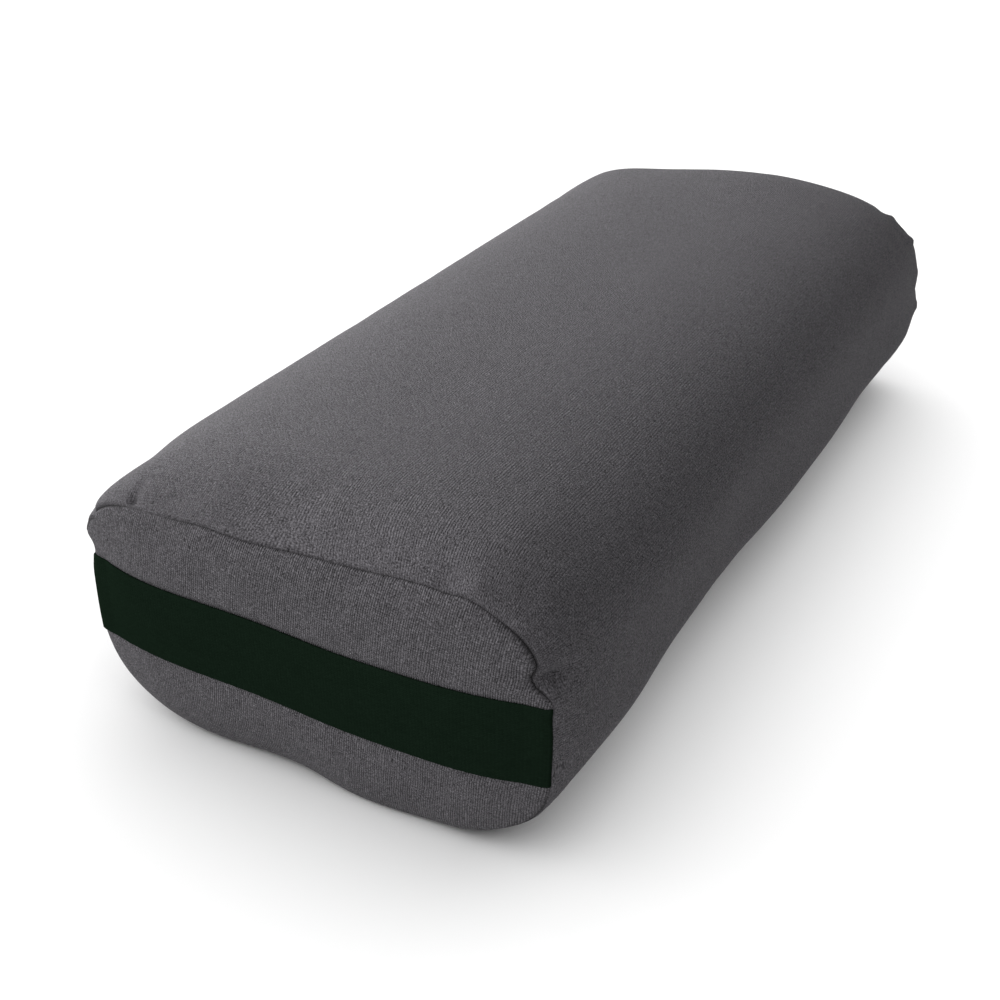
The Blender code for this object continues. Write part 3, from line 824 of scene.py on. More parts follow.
def ripples():
    """How the cover's spare cloth ripples, as (places along, places round, girth, heights).

    A cloth simulation moves the whole cover, held at its seams, zip, webbing and floor. What it moves along
    the cover's normals, less its Gaussian mean over RIPPLE_REACH, is the ripple, scaled down and capped.
    """
    stations = np.linspace(-SEAM, SEAM, round(2 * SEAM / SLACK_STEP) + 1)
    ring = outline(stations, SLACK_STEP)
    around = run_along(ring[len(ring) // 2])
    ring = ring[:, :-1]
    shares = np.linspace(POLE_SHARE, 1, SLACK_RINGS, endpoint=False)
    front, rear = dome(ring[:1], shares, -1), dome(ring[-1:], shares[::-1], 1)
    along = (1 - shares) * SEAM_TOP
    along = np.concatenate([-SEAM - along, stations, SEAM + along[::-1]])
    grid = settle(np.concatenate([front, ring, rear]))
    sewn = np.isclose(abs(along), SEAM) | (abs(along) > SEAM + POLE_HELD * SEAM_TOP)
    held = sewn[:, None] | (grid[..., 2] < FLOOR_HELD) | (clear_of_zip(grid) < ZIP_FREE_SHARE)
    held |= under_webbing(grid) > WEBBING_HELD_SHARE
    shift = simulated(grid, held)
    normals = normals_of(np.concatenate([grid[:, -1:], grid, grid[:, :1]], axis=1))[:, 1:-1]
    height = (shift * normals).sum(axis=-1)
    rows = spread(along, along, RIPPLE_REACH)
    columns = spread(around[:-1], around[:-1], RIPPLE_REACH, around[-1])
    height = RIPPLE_SHARE * (height - rows @ height @ columns.T)
    return along, around[:-1], around[-1], height.clip(-RIPPLE_CAP, RIPPLE_CAP)


def rippled(points, along, around, amount, ripple):
    """A fine grid moved along its normals by the ripples at its places along and round the cover."""
    known_along, known_around, girth, height = ripple
    rows = spread(along, known_along, SLACK_STEP * RIPPLE_BLEND)
    columns = spread(around, known_around, SLACK_STEP * RIPPLE_BLEND, girth)
    moved = points + normals_of(points) * ((rows @ height @ columns.T) * amount)[..., None]
    moved[..., 2] = moved[..., 2].clip(0)
    return moved


# Materials


class Wire:
    """A value in a material's node tree. Arithmetic on wires adds the Math nodes that work it out."""

    def __init__(self, socket):
        self.socket = socket
        self.tree = socket.id_data

    def math(self, operation, *others):
        node = self.tree.nodes.new("ShaderNodeMath")
        node.operation = operation
        for entry, value in zip(node.inputs, (self, *others)):
            feed(entry, value)
        return Wire(node.outputs[0])

    def __add__(self, other):
        return self.math("ADD", other)

    def __sub__(self, other):
        return self.math("SUBTRACT", other)

    def __mul__(self, other):
        return self.math("MULTIPLY", other)

    def __truediv__(self, other):
        return self.math("DIVIDE", other)

    def floor(self):
        return self.math("FLOOR")

    def sin(self):
        return self.math("SINE")

    def size(self):
        return self.math("ABSOLUTE")

    def clip(self):
        """The value kept between 0 and 1."""
        kept = self + 0.0
        kept.socket.node.use_clamp = True
        return kept


def feed(entry, value):
    """Links a wire to a socket, or sets the socket to a plain value."""
    if isinstance(value, Wire):
        value.tree.links.new(value.socket, entry)
    else:
        entry.default_value = value


def place_on_cloth(material):
    """Where a point lies on the flat cloth, in metres: across the warp, and along it."""
    tree = material.node_tree
    node = tree.nodes.new("ShaderNodeUVMap")
    node.uv_map = "cloth"
    parts = tree.nodes.new("ShaderNodeSeparateXYZ")
    tree.links.new(node.outputs[0], parts.inputs[0])
    return Wire(parts.outputs[0]), Wire(parts.outputs[1])


def place_on_object(material):
    """A point's place in the object's own coordinates."""
    node = material.node_tree.nodes.new("ShaderNodeTexCoord")
    return Wire(node.outputs["Object"])


def point(x, y, layer=0.0):
    """A place in a noise's space. Noises on different layers have nothing in common."""
    node = x.tree.nodes.new("ShaderNodeCombineXYZ")
    for entry, value in zip(node.inputs, (x, y, layer)):
        feed(entry, value)
    return Wire(node.outputs[0])


def noise(at, scale=1.0, detail=1.0, roughness=0.5):
    """Noise from 0 to 1 with its middle at 0.5, at a scale per unit of its coordinates."""
    node = at.tree.nodes.new("ShaderNodeTexNoise")
    feed(node.inputs["Vector"], at)
    node.inputs["Scale"].default_value = scale
    node.inputs["Detail"].default_value = detail
    node.inputs["Roughness"].default_value = roughness
    return Wire(node.outputs["Fac"])


def marks(place, size, layer=0.0, detail=1.0):
    """Noise on the flat cloth, with lumps of a size across and along the warp."""
    return noise(point(place[0] / size[0], place[1] / size[1], layer), detail=detail)


def between(amount, low, high, smooth=True):
    """0 where the amount is under low, 1 where it is over high, and a ramp between."""
    node = amount.tree.nodes.new("ShaderNodeMapRange")
    node.interpolation_type = "SMOOTHSTEP" if smooth else "LINEAR"
    feed(node.inputs["Value"], amount)
    node.inputs["From Min"].default_value = low
    node.inputs["From Max"].default_value = high
    return Wire(node.outputs["Result"])


def colour_blend(amount, first, second, blend="MIX"):
    """A colour that goes from first to second as the amount goes from 0 to 1, or first times second."""
    tree = next(value.tree for value in (amount, first, second) if isinstance(value, Wire))
    node = tree.nodes.new("ShaderNodeMix")
    node.data_type = "RGBA"
    node.blend_type = blend
    feed(node.inputs[0], amount)
    colours = [entry for entry in node.inputs if entry.type == "RGBA"]
    for entry, value in zip(colours, (first, second)):
        feed(entry, value if isinstance(value, Wire) else (*value, 1.0))
    return Wire([entry for entry in node.outputs if entry.type == "RGBA"][0])


def finish(name, roughness, metallic=0.0, sheen=0.0, specular=0.5):
    """A Principled material, and its shader."""
    material = bpy.data.materials.new(name)
    material.use_nodes = True
    shader = material.node_tree.nodes["Principled BSDF"]
    shader.inputs["Roughness"].default_value = roughness
    shader.inputs["Metallic"].default_value = metallic
    shader.inputs["Sheen Weight"].default_value = sheen
    shader.inputs["Sheen Roughness"].default_value = 0.5
    shader.inputs["Specular IOR Level"].default_value = specular
    return material, shader


def raise_by(shader, height, distance):
    """Bump from a height wire, where a height of 1 stands out by the distance in metres."""
    node = height.tree.nodes.new("ShaderNodeBump")
    node.inputs["Distance"].default_value = distance
    feed(node.inputs["Height"], height)
    feed(shader.inputs["Normal"], Wire(node.outputs["Normal"]))


def weave(place, warp_pitch, weft_pitch, slub, uneven=0.0):
    """Height and yarn tone of a plain weave.

    Every yarn is a round ridge |sin(pi u)| that also rises and dips by a sine of the crossing yarns, in
    turn from yarn to yarn. Whichever yarn is higher shows, and each yarn has its own tone along its run.
    Slub is how far the yarns wander, in pitches, and uneven how much each crossing differs from the next.
    """
    across, along = place
    bend = noise(point(across / warp_pitch * YARN_WANDER, along / weft_pitch * YARN_DRIFT), detail=2) - 0.5
    spot = point(across / warp_pitch * YARN_DRIFT, along / weft_pitch * YARN_WANDER, layer=5.0)
    sway = noise(spot, detail=2) - 0.5
    u = across / warp_pitch + bend * slub
    v = along / weft_pitch + sway * slub
    warp_turn, weft_turn = u * math.pi, v * math.pi
    odd_warp = (u.floor() * math.pi + math.pi / 2).sin()
    odd_weft = (v.floor() * math.pi + math.pi / 2).sin()
    warp_height = warp_turn.sin().size() * WARP_RISE[0] + odd_warp * weft_turn.sin() * WARP_RISE[1]
    weft_height = weft_turn.sin().size() * WEFT_RISE[0] - odd_weft * warp_turn.sin() * WEFT_RISE[1]
    spot = point(u.floor() * CROSSING_SEEDS[0], v.floor() * CROSSING_SEEDS[1], layer=7.0)
    crossing = noise(spot, detail=0) - 0.5
    height = warp_height.math("MAXIMUM", weft_height) + crossing * uneven
    warp_shows = warp_height.math("GREATER_THAN", weft_height)
    warp_tone = noise(point(u.floor() * YARN_SEEDS[0], v * YARN_RUN), detail=2)
    weft_tone = noise(point(u * YARN_RUN, v.floor() * YARN_SEEDS[1], layer=9.0), detail=2)
    tone = weft_tone + (warp_tone - weft_tone) * warp_shows + crossing * uneven
    return height, tone


def canvas(name, woven, uneven, gap_shade_depth, relief):
    """Heathered charcoal canvas: a plain weave of uneven grey yarns under felted fibre, with nubs and flecks.

    How far the weave shows through the fibre goes from the first to the second value of woven, in patches
    of a thumb's width. Contrast is how much painted shade darkens the cloth between its yarns.
    """
    material, shader = finish(name, roughness=0.92, sheen=0.04, specular=0.2)
    place = place_on_cloth(material)
    height, tone = weave(place, CANVAS_WARP, CANVAS_WEFT, CANVAS_SLUB, uneven)
    felt = marks(place, FELT_GRAIN, layer=11.0) - 0.5
    patches = between(marks(place, PATCH_SIZE, layer=4.0, detail=2), *PATCH_LIMITS)
    shows = patches * (woven[1] - woven[0]) + woven[0]
    height = (height - YARN_MIDDLE) * shows + felt * (shows * -1.0 + FELT_COVER) * FELT_HEIGHT + YARN_MIDDLE
    nubs = between(marks(place, NUB_SIZE), *NUB_LIMITS)
    flecks = between(marks(place, FLECK_SIZE, layer=3.0), *FLECK_LIMITS)
    cloud = marks(place, CLOUD_SIZE, detail=3) - 0.5
    lightness = (tone - 0.5) * YARN_TONE + felt * FELT_TONE + CANVAS_TONE
    lightness = lightness + cloud * CLOUD_TONE + flecks * FLECK_TONE - nubs * NUB_TONE
    colour = colour_blend(lightness.clip(), *SHADES["canvas"])
    # Painted shadow in the seams' fold: the cloth darkens towards a near-black colour by each point's seam
    # tone
    seam = material.node_tree.nodes.new("ShaderNodeAttribute")
    seam.attribute_name = "seam_shadow"
    colour = colour_blend(Wire(seam.outputs["Fac"]) * SEAM_SHADOW_DARKNESS, colour, SEAM_SHADOW_COLOUR)
    # Painted shade: darker between the yarns, lighter on their crowns
    painted_gap_shade = between(height, *GAP_SHADE_RANGE, smooth=False) * gap_shade_depth + (GAP_SHADE_MEAN - GAP_SHADE_DROP * gap_shade_depth)
    feed(shader.inputs["Base Color"], colour_blend(1.0, colour, painted_gap_shade, "MULTIPLY"))
    fuzz = marks(place, FUZZ_GRAIN, detail=2)
    raise_by(shader, height + fuzz * FUZZ_HEIGHT + nubs * NUB_HEIGHT, relief)
    return material


def webbing():
    """Dark green cotton webbing: fine warp cords over broad picks, with painted shade between them."""
    material, shader = finish("dark_green_webbing", roughness=0.95, specular=0.0)
    place = place_on_cloth(material)
    height, tone = weave(place, warp_pitch=0.0011, weft_pitch=0.0020, slub=0.35)
    cloud = marks(place, size=(0.012, 0.030), detail=2)
    # Painted shade: lighter where the yarns rise, darker between them
    lightness = (tone - 0.5) * 0.9 + 0.45 + (cloud - 0.5) * 0.3 + height * 0.25
    feed(shader.inputs["Base Color"], colour_blend(lightness.clip(), *SHADES["webbing"]))
    raise_by(shader, height, distance=0.00025)
    return material


def sewing_thread():
    """Charcoal sewing thread: the fine ridges of its plies."""
    material, shader = finish("charcoal_thread", roughness=0.6, sheen=0.2)
    twist = noise(place_on_object(material), scale=2200, detail=1)
    feed(shader.inputs["Base Color"], colour_blend(twist, *SHADES["thread"]))
    raise_by(shader, twist, distance=0.00008)
    return material


def zip_tape():
    """Black zip tape in a fine close weave."""
    material, shader = finish("zip_tape", roughness=0.85, sheen=0.1)
    height, tone = weave(place_on_cloth(material), warp_pitch=0.0005, weft_pitch=0.0004, slub=0.2)
    feed(shader.inputs["Base Color"], colour_blend(tone, *SHADES["tape"]))
    raise_by(shader, height, distance=0.00012)
    return material


def zip_coil():
    """Black nylon coil, satin with faint scuffs."""
    material, shader = finish("zip_coil", roughness=0.4)
    scuff = noise(place_on_object(material), scale=900, detail=3)
    feed(shader.inputs["Base Color"], colour_blend(scuff, *SHADES["coil"]))
    feed(shader.inputs["Roughness"], between(scuff, low=0.3, high=0.8) * 0.25 + 0.32)
    return material


def zip_metal():
    """Black lacquered zinc: small scratches and rubbed spots where the grey metal starts to show."""
    material, shader = finish("zip_metal", roughness=0.35, metallic=0.8)
    at = place_on_object(material)
    grain = noise(at, scale=1400, detail=4, roughness=0.7)
    rubbed = between(noise(at, scale=420, detail=5, roughness=0.75), low=0.56, high=0.70)
    feed(shader.inputs["Base Color"], colour_blend(rubbed, *SHADES["metal"]))
    feed(shader.inputs["Roughness"], grain * 0.25 + rubbed * 0.10 + 0.22)
    raise_by(shader, grain, distance=0.00004)
    return material


def liner_cotton():
    """Unbleached cotton sheeting: a fine even weave with small seed flecks."""
    material, shader = finish("liner_cotton", roughness=0.9, sheen=0.15)
    place = place_on_cloth(material)
    height, tone = weave(place, warp_pitch=0.0006, weft_pitch=0.0006, slub=0.5)
    seeds = between(marks(place, size=(0.0022, 0.0022)), low=0.73, high=0.78)
    colour = colour_blend(tone, *SHADES["cotton"])
    feed(shader.inputs["Base Color"], colour_blend(seeds, colour, SEED_SHADE))
    raise_by(shader, height, distance=0.00014)
    return material


def batting():
    """Cotton batting: matted fibres in soft clumps."""
    material, shader = finish("cotton_batting", roughness=1.0, sheen=0.4)
    at = place_on_object(material)
    clumps = noise(at, scale=90, detail=4, roughness=0.65)
    fibres = noise(at, scale=1300, detail=3, roughness=0.7)
    feed(shader.inputs["Base Color"], colour_blend(clumps * 0.7 + fibres * 0.3, *SHADES["batting"]))
    raise_by(shader, clumps * 0.8 + fibres * 0.2, distance=0.003)
    return material


def foam():
    """Firm upholstery foam: open cells, with painted shade in their pores."""
    material, shader = finish("foam", roughness=0.95)
    at = place_on_object(material)
    cells = at.tree.nodes.new("ShaderNodeTexVoronoi")
    feed(cells.inputs["Vector"], at)
    cells.inputs["Scale"].default_value = 700
    pores = between(Wire(cells.outputs["Distance"]), low=0.15, high=0.55)
    patch = noise(at, scale=30, detail=2)
    # Painted shade: darker in the pores, lighter on the cell walls
    feed(shader.inputs["Base Color"], colour_blend(pores * 0.75 + patch * 0.25, *SHADES["foam"]))
    raise_by(shader, pores, distance=0.0006)
    return material


# Pieces of the cover


def seam_pull(rim):
    """How hard the stitches pull at each point of an end seam, from 0 to 1: hardest at its upper corners.

    Beside the webbing's ends the webbing fills the seam, so that it hardly draws in there.
    """
    x, y, z = rim.T
    corner = near_to(abs(x), z, SEAM_CORNER, SEAM_CORNER_REACH)
    slack = near_to(x, z, SEAM_SLACK, SEAM_SLACK_REACH)
    low = np.exp(-(((z - SEAM_LOW) / SEAM_LOW) ** 2))
    beside = (abs(z - WEBBING_HEIGHT) < WEBBING_WIDTH / 2 + DENT_MARGIN) & (y < 0)
    window = 2 * SEAM_BLUR + 1
    free = np.pad(np.where(beside, 0.0, 1.0), SEAM_BLUR, mode="edge")
    free = np.convolve(free, np.ones(window) / window, mode="valid")
    pull = PULL + PULL_CORNER * corner + PULL_LOW * low
    return (pull * (1 - PULL_SLACK * slack) * free).clip(0, 1)


def cover_skin(ripple):
    """The cover's wrapped panel and end panels as finished grids, with grooves where they are sewn together.

    Both panels' cloth is drawn along the bisector of their facings by depth (1 - distance / width)^2. The
    tones are the painted shadow in the seam's fold, e^-(distance / reach).
    """
    stations = along_wrap(SEAM_STEP, STEP_GROWTH, CLOTH_STATION)
    past = (abs(stations) - ZIP_LENGTH / 2) / SLIT_CLOSING
    opening = SIDE_SEAM_PARTING + (ZIP_SLIT - SIDE_SEAM_PARTING) * (1 - past.clip(0, 1)) ** 0.5
    girth = run_along(outline([0.0], CLOTH_STEP, 0.0, ZIP_EDGE_STEP)[0])
    wrap = settle(outline(stations, CLOTH_STEP, opening, ZIP_EDGE_STEP))
    near = (SEAM - abs(stations))[:, None]
    amount = 1 - np.exp(-((near / RIPPLE_CLEAR) ** 2))
    amount = amount * (RIPPLE_REST + (1 - RIPPLE_REST) * np.exp(-near / RIPPLE_FADE)) * clear_of_zip(wrap)
    wrap = rippled(wrap, stations, girth, amount, ripple)
    from_edge = abs(wrap[..., 2] - SIDE_HEIGHT) - opening[:, None] / 2
    beside_zip = ((ZIP_LENGTH / 2 + HEM_OVERRUN - abs(stations)) / HEM_END_RAMP).clip(0, 1)
    folded = ((HEM_WIDTH - from_edge) / HEM_RAMP).clip(0, 1) * beside_zip[:, None]
    wrap[..., 0] -= np.where(on_zip_side(wrap), HEM_RISE * folded, 0)
    rims = outline(stations[[0, -1]], CLOTH_STEP, 0.0, ZIP_EDGE_STEP)
    inner = 1 - growing(SEAM_STEP, STEP_GROWTH, CLOTH_STEP, SEAM_WIDTH / 2) / (SEAM_WIDTH / 2)
    shares = np.append(POLE_SHARE, inner[inner > POLE_SHARE + POLE_ROOM][::-1])
    from_rim = (1 - shares) * SEAM_TOP
    panels = []
    for rim, side in zip(rims, (-1, 1)):
        flat = dome(rim[None], shares, side)
        calm = (1 - np.exp(-((from_rim / RIPPLE_CLEAR_PANEL) ** 2)))[:, None] * (1 - under_webbing(flat))
        panels.append(rippled(settle(flat), side * (SEAM + from_rim), girth, -side * calm, ripple))
    normals = normals_of(wrap)
    # Painted shadow of the seams' fold on the wrap, from 0 to 1
    tone = np.zeros(wrap.shape[:2])
    panel_shadows = []
    for panel, (row, side, _) in zip(panels, ENDS):
        facing = normals_of(panel, inside_out=side > 0)[-1]
        inwards = unit(-(normals[row] + facing))
        pull = seam_pull(wrap[row])
        drawn = inwards * (GROOVE_DEPTH * pull)[:, None]
        width = mix(GROOVE_WIDTH_LOW, GROOVE_WIDTH_HIGH, pull)
        near_wrap = run_along(wrap[::-side])[::-side]
        near_panel = run_along(panel[::-1])[::-1]
        wrap += drawn * ((1 - near_wrap / width).clip(0) ** 2)[..., None]
        panel += drawn * ((1 - near_panel / width).clip(0) ** 2)[..., None]
        # Painted shadow in the fold: wider and darker where the stitches pull harder
        shadow_reach = SEAM_SHADOW_REACH * (SEAM_SHADOW_SPREAD[0] + SEAM_SHADOW_SPREAD[1] * pull)
        shadow_strength = (SEAM_SHADOW_STRENGTH[0] + SEAM_SHADOW_STRENGTH[1] * pull).clip(0, 1)
        tone = np.maximum(tone, shadow_strength * np.exp(-near_wrap / shadow_reach))
        panel_shadows.append(shadow_strength * np.exp(-near_panel / shadow_reach))
    return {
        "stations": stations, "girth": girth, "wrap": wrap, "tone": tone,
        "panels": panels, "panel_shadows": panel_shadows,
    }


def cover_pieces(skin, cloth, end_cloth):
    """The canvas pieces: the wrap with its ends turned in, slit along the zip, and the two end panels."""
    wrap, tone = skin["wrap"], skin["tone"]
    turned = []
    for row, side, _ in ENDS:
        allowance = drawn_in(wrap[row], ALLOWANCE)
        allowance[:, 1] = side * (SEAM - 4 * GAP)
        turned.append(allowance[None])
    points = np.concatenate([turned[0], wrap, turned[1]])
    along = run_along(points)
    along -= along[len(along) // 2]
    uv = joined_columns(skin["girth"], along)
    # The wrap's painted seam shadow, held on at its turned-in ends
    tone = np.concatenate([tone[:1], tone, tone[-1:]])
    main = thicken(surface("cover_main", points, uv, tone=tone), COVER_CLOTH)
    dressed(main, cloth, "cover_main_panel")
    # Each end panel with its own painted seam shadow
    for panel, tone, (_, side, name) in zip(skin["panels"], skin["panel_shadows"], ENDS):
        panel, tone = panel[:, :-1], tone[:, :-1]
        uv = panel[..., [0, 2]] @ PANEL_GRAIN
        item = surface("cover_end_" + name, panel, uv, True, (True, False), side > 0, tone)
        dressed(thicken(item, COVER_CLOTH), end_cloth, "cover_end_panel_" + name)


def cover_stitches(skin, thread):
    """The stitches that close the end seams, and the short side seams between the zip and the ends."""
    wrap, stations = skin["wrap"], skin["stations"]
    for row, side, name in ENDS:
        path = drawn_in(wrap[row][:-1], THREAD_INSET)
        path[:, 1] = side * (SEAM - 4 * GAP - COVER_CLOTH - GAP - SEAM_THREAD / 2)
        item = stitches("end_seam_stitches_" + name, path, (0, -side, 0), SEAM_THREAD, closed=True)
        dressed(item, thread, "end_seam_thread_" + name)
        low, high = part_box("side_seam_thread_" + name)
        path = wrap[(stations > low.y) & (stations < high.y)][:, 0].copy()
        path[:, 0] += COVER_CLOTH + GAP + SEAM_THREAD / 2
        item = stitches("side_seam_stitches_" + name, path, (1, 0, 0), SEAM_THREAD)
        dressed(item, thread, "side_seam_thread_" + name)


def webbing_profile():
    """The webbing's cross-section as (out, up): flat faces between half-round selvages."""
    half, rise = WEBBING_THICKNESS / 2, WEBBING_WIDTH / 2 - WEBBING_THICKNESS / 2
    flat = np.linspace(-1, 1, WEBBING_ROWS) * rise
    turn = np.linspace(0, np.pi, SELVAGE_POINTS)[1:-1]
    out = np.concatenate([half + 0 * flat, half * np.cos(turn), -half + 0 * flat, -half * np.cos(turn)])
    up = np.concatenate([flat, rise + half * np.sin(turn), -flat, -rise - half * np.sin(turn)])
    return out, up


def webbing_path():
    """One half of the handle's middle line, from the cushion's middle to the end tucked in the seam.

    It follows the end panel, y = seam + bulge (1 - share^power), just off its surface, and then turns
    round a quarter circle into the seam.
    """
    off = GAP + WEBBING_THICKNESS / 2
    half = SEAM_WIDTH / 2 - WEBBING_THICKNESS / 2
    share = np.linspace(0, 1, WEBBING_STATIONS) ** WEBBING_CROWDING * (1 - off / half)
    x = share * half
    y = SEAM + END_BULGE * (1 - share**END_POWER) + off - WEBBING_SINK * sunk_along(x)
    turn = np.linspace(np.pi / 2, 0, TUCK_TURN_POINTS)[1:]
    corner_x = x[-1] + off * np.cos(turn)
    corner_y = y[-1] - off + off * np.sin(turn)
    inside = np.linspace(0, TUCK_DEPTH, TUCK_POINTS)[1:]
    x = np.concatenate([x, corner_x, corner_x[-1] + 0 * inside])
    y = np.concatenate([y, corner_y, corner_y[-1] - inside])
    return joined_columns(x, -y, WEBBING_HEIGHT)


def handle_pieces(cloth):
    """The webbing in two halves that meet at the middle.

    It is pressed thinner towards its sewn ends.
    """
    path = webbing_path()
    normal = sideways_of(path)
    normal *= np.sign(-normal[:1, 1:2])
    normal[0] = (0, -1, 0)
    out, up = webbing_profile()
    run = run_along(path)
    pressed = (1 - TUCK_PRESS * (run / run[-1]) ** TUCK_POWER)[:, None, None]
    points = swept(path, normal, out, up, pressed)
    points[..., 1] += (1 - pressed[..., 0]) * WEBBING_THICKNESS / 2
    for name, side in (("left", -1), ("right", 1)):
        shaped = pushed(points * (side, 1, 1))
        uv = joined_columns(up, side * run[:, None])
        item = closed_up(surface("handle_webbing_" + name, shaped, uv, True, (True, True)), sharp=60)
        item.data.materials.append(cloth)
        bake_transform(item)
        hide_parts("handle_webbing")


# Lining and filling


def lining(end, inset, side_inset):
    """The cushion's skin at coarse stations, moved inwards along its normals, as a closed ring at each.

    It moves by more where it stands upright.
    """
    stations = along_wrap(LINING_FIRST_STEP, LINING_GROWTH, LINING_STATION, end)
    skin = settle(outline(stations, LINING_STEP))[:, :-1]
    wrapped = np.concatenate([skin[:, -1:], skin, skin[:, :1]], axis=1)
    normals = normals_of(wrapped)[:, 1:-1]
    return skin - normals * mix(inset, side_inset, normals[..., :1] ** 2)


def lining_end(ring, side, inset, shares):
    """An inner end panel: a lining's last ring drawn to the centre, up to the cover's dome less the inset."""
    shares = np.asarray(shares)[:, None]
    points = CENTRE + (ring - CENTRE) * shares[..., None]
    lift = ease((1 - shares) / LINING_LIFT)
    crown = SEAM + END_BULGE * (1 - (shares * LINING_CROWN) ** END_POWER) - inset
    points[..., 1] = side * mix(side * ring[:, 1], crown, lift)
    return points + (settle(points) - points) * (0, 1, 0) * lift[..., None]


def lining_pieces(cotton, thread):
    """The liner: its wrap with a closing seam along the +X side, its end panels, and the seams' stitches."""
    wrap = lining(LINING_END, LINER_INSET, LINER_SIDE_ROOM)
    middle = wrap[len(wrap) // 2]
    seam = int(middle[:, 0].argmax())
    girth = run_along(np.append(middle, middle[:1], axis=0))
    rolled = np.concatenate([wrap[:, seam:], wrap[:, : seam + 1]], axis=1)
    uv = joined_columns(girth, wrap[:, :1, 1])
    item = thicken(closed_up(surface("liner_main", rolled, uv)), LINER_CLOTH)
    dressed(item, cotton, "liner_main_panel")
    for row, side, name in ENDS:
        rim = wrap[row]
        panel = lining_end(rim, side, LINER_INSET, LINER_SHARES)
        item = surface("liner_end_" + name, panel, panel[..., [0, 2]], True, (True, False), side > 0)
        dressed(thicken(item, LINER_CLOTH), cotton, "liner_end_panel_" + name)
        x, z = rim[:, 0], rim[:, 2]
        area = float(abs((x * np.roll(z, -1) - z * np.roll(x, -1)).sum()) / 2)
        path = lining_end(rim, side, LINER_INSET, [LINER_STITCH_SHARE])[0]
        path[:, 1] += side * SEAM_THREAD / 2
        item = stitches("liner_stitches_" + name, path, (0, side, 0), SEAM_THREAD, closed=True)
        dressed(item, thread, "liner_seam_thread_" + name)
    path = wrap[abs(wrap[:, seam, 1]) <= SEAM - DRAW_LENGTH, seam].copy()
    path[:, 0] += SEAM_THREAD / 2
    item = stitches("liner_closing_stitches", path, (1, 0, 0), SEAM_THREAD)
    dressed(item, thread, "liner_closing_thread")


def core_outline(angle, room):
    """A superellipse round the foam block at each angle from its middle, with room between them."""
    half = np.array([CORE_SIZE[0] / 2 + room, CORE_SIZE[2] / 2 + room])
    across, up = np.cos(angle) / half[0], np.sin(angle) / half[1]
    reach = (abs(across) ** CORE_SQUARENESS + abs(up) ** CORE_SQUARENESS) ** (-1 / CORE_SQUARENESS)
    return np.cos(angle) * reach, np.sin(angle) * reach


def filling_pieces(fibre, cells):
    """The foam block, the batting wound round it, and the pads of batting over its ends."""
    item = rounded_box("foam_block", CORE_LOW, CORE_HIGH, CORE_ROUND, CORE_ROUND_STEPS)
    dressed(item, cells, "foam_core")
    end = CORE_HIGH.y
    skin = lining(LINING_END - BATTING_END, BATTING_INSET, BATTING_SIDE)
    wrap = skin[abs(skin[:, 0, 1]) <= end]
    middle = (CORE_LOW.z + CORE_HIGH.z) / 2
    angle = np.arctan2(wrap[..., 2] - middle, wrap[..., 0])
    across, up = core_outline(angle, CORE_ROOM)
    bore = joined_columns(across, wrap[..., 1], middle + up)
    shell = np.concatenate([wrap, bore[::-1], wrap[:1]])
    item = closed_up(surface("batting_roll", shell, closed=True), sharp=60)
    dressed(item, fibre, "batting_wrap")
    for _, side, name in ENDS:
        rings = skin[side * skin[:, 0, 1] > end][::side]
        against_core = np.array([0, side * (end + 3 * GAP), 0])
        face = rings[:1] * (1, 0, 1) + against_core
        centre = against_core + (0, 0, SIDE_HEIGHT)
        base = centre + (face - centre) * np.linspace(POLE_SHARE, 1, PAD_BASE_RINGS)[:, None, None]
        crown = lining_end(rings[-1], side, BATTING_INSET, PAD_SHARES)
        item = block("batting_pad_" + name, np.concatenate([base, rings, crown]))
        dressed(item, fibre, "batting_end_pad_" + name)


# The zip


def coil_path(low, high, side):
    """A coil's centreline, a squared spiral in the box from low to high, and its outward directions."""
    turns = int((high.y - low.y - 2 * COIL_WIRE) / COIL_PITCH)
    turn = np.linspace(0, 2 * np.pi * turns, turns * COIL_POINTS + 1)
    c, s = rounded_square(turn, *COIL_SQUARING)
    outwards = joined_columns(s, 0 * c, side * c)
    outer = high.z - SIDE_HEIGHT if side > 0 else SIDE_HEIGHT - low.z
    reach = (outer - COIL_MEET) / 2 - COIL_WIRE
    deep = (high.x - low.x) / 2 - COIL_WIRE
    middle = ((low.x + high.x) / 2, 0, SIDE_HEIGHT + side * ((outer + COIL_MEET) / 2))
    centre = outwards * (deep, 0, reach) + middle
    start = low.y + COIL_WIRE + (COIL_PITCH / 2 if side > 0 else 0)
    centre[:, 1] = start + (high.y - COIL_WIRE - COIL_PITCH / 2 - start) * turn / turn[-1]
    return centre, outwards


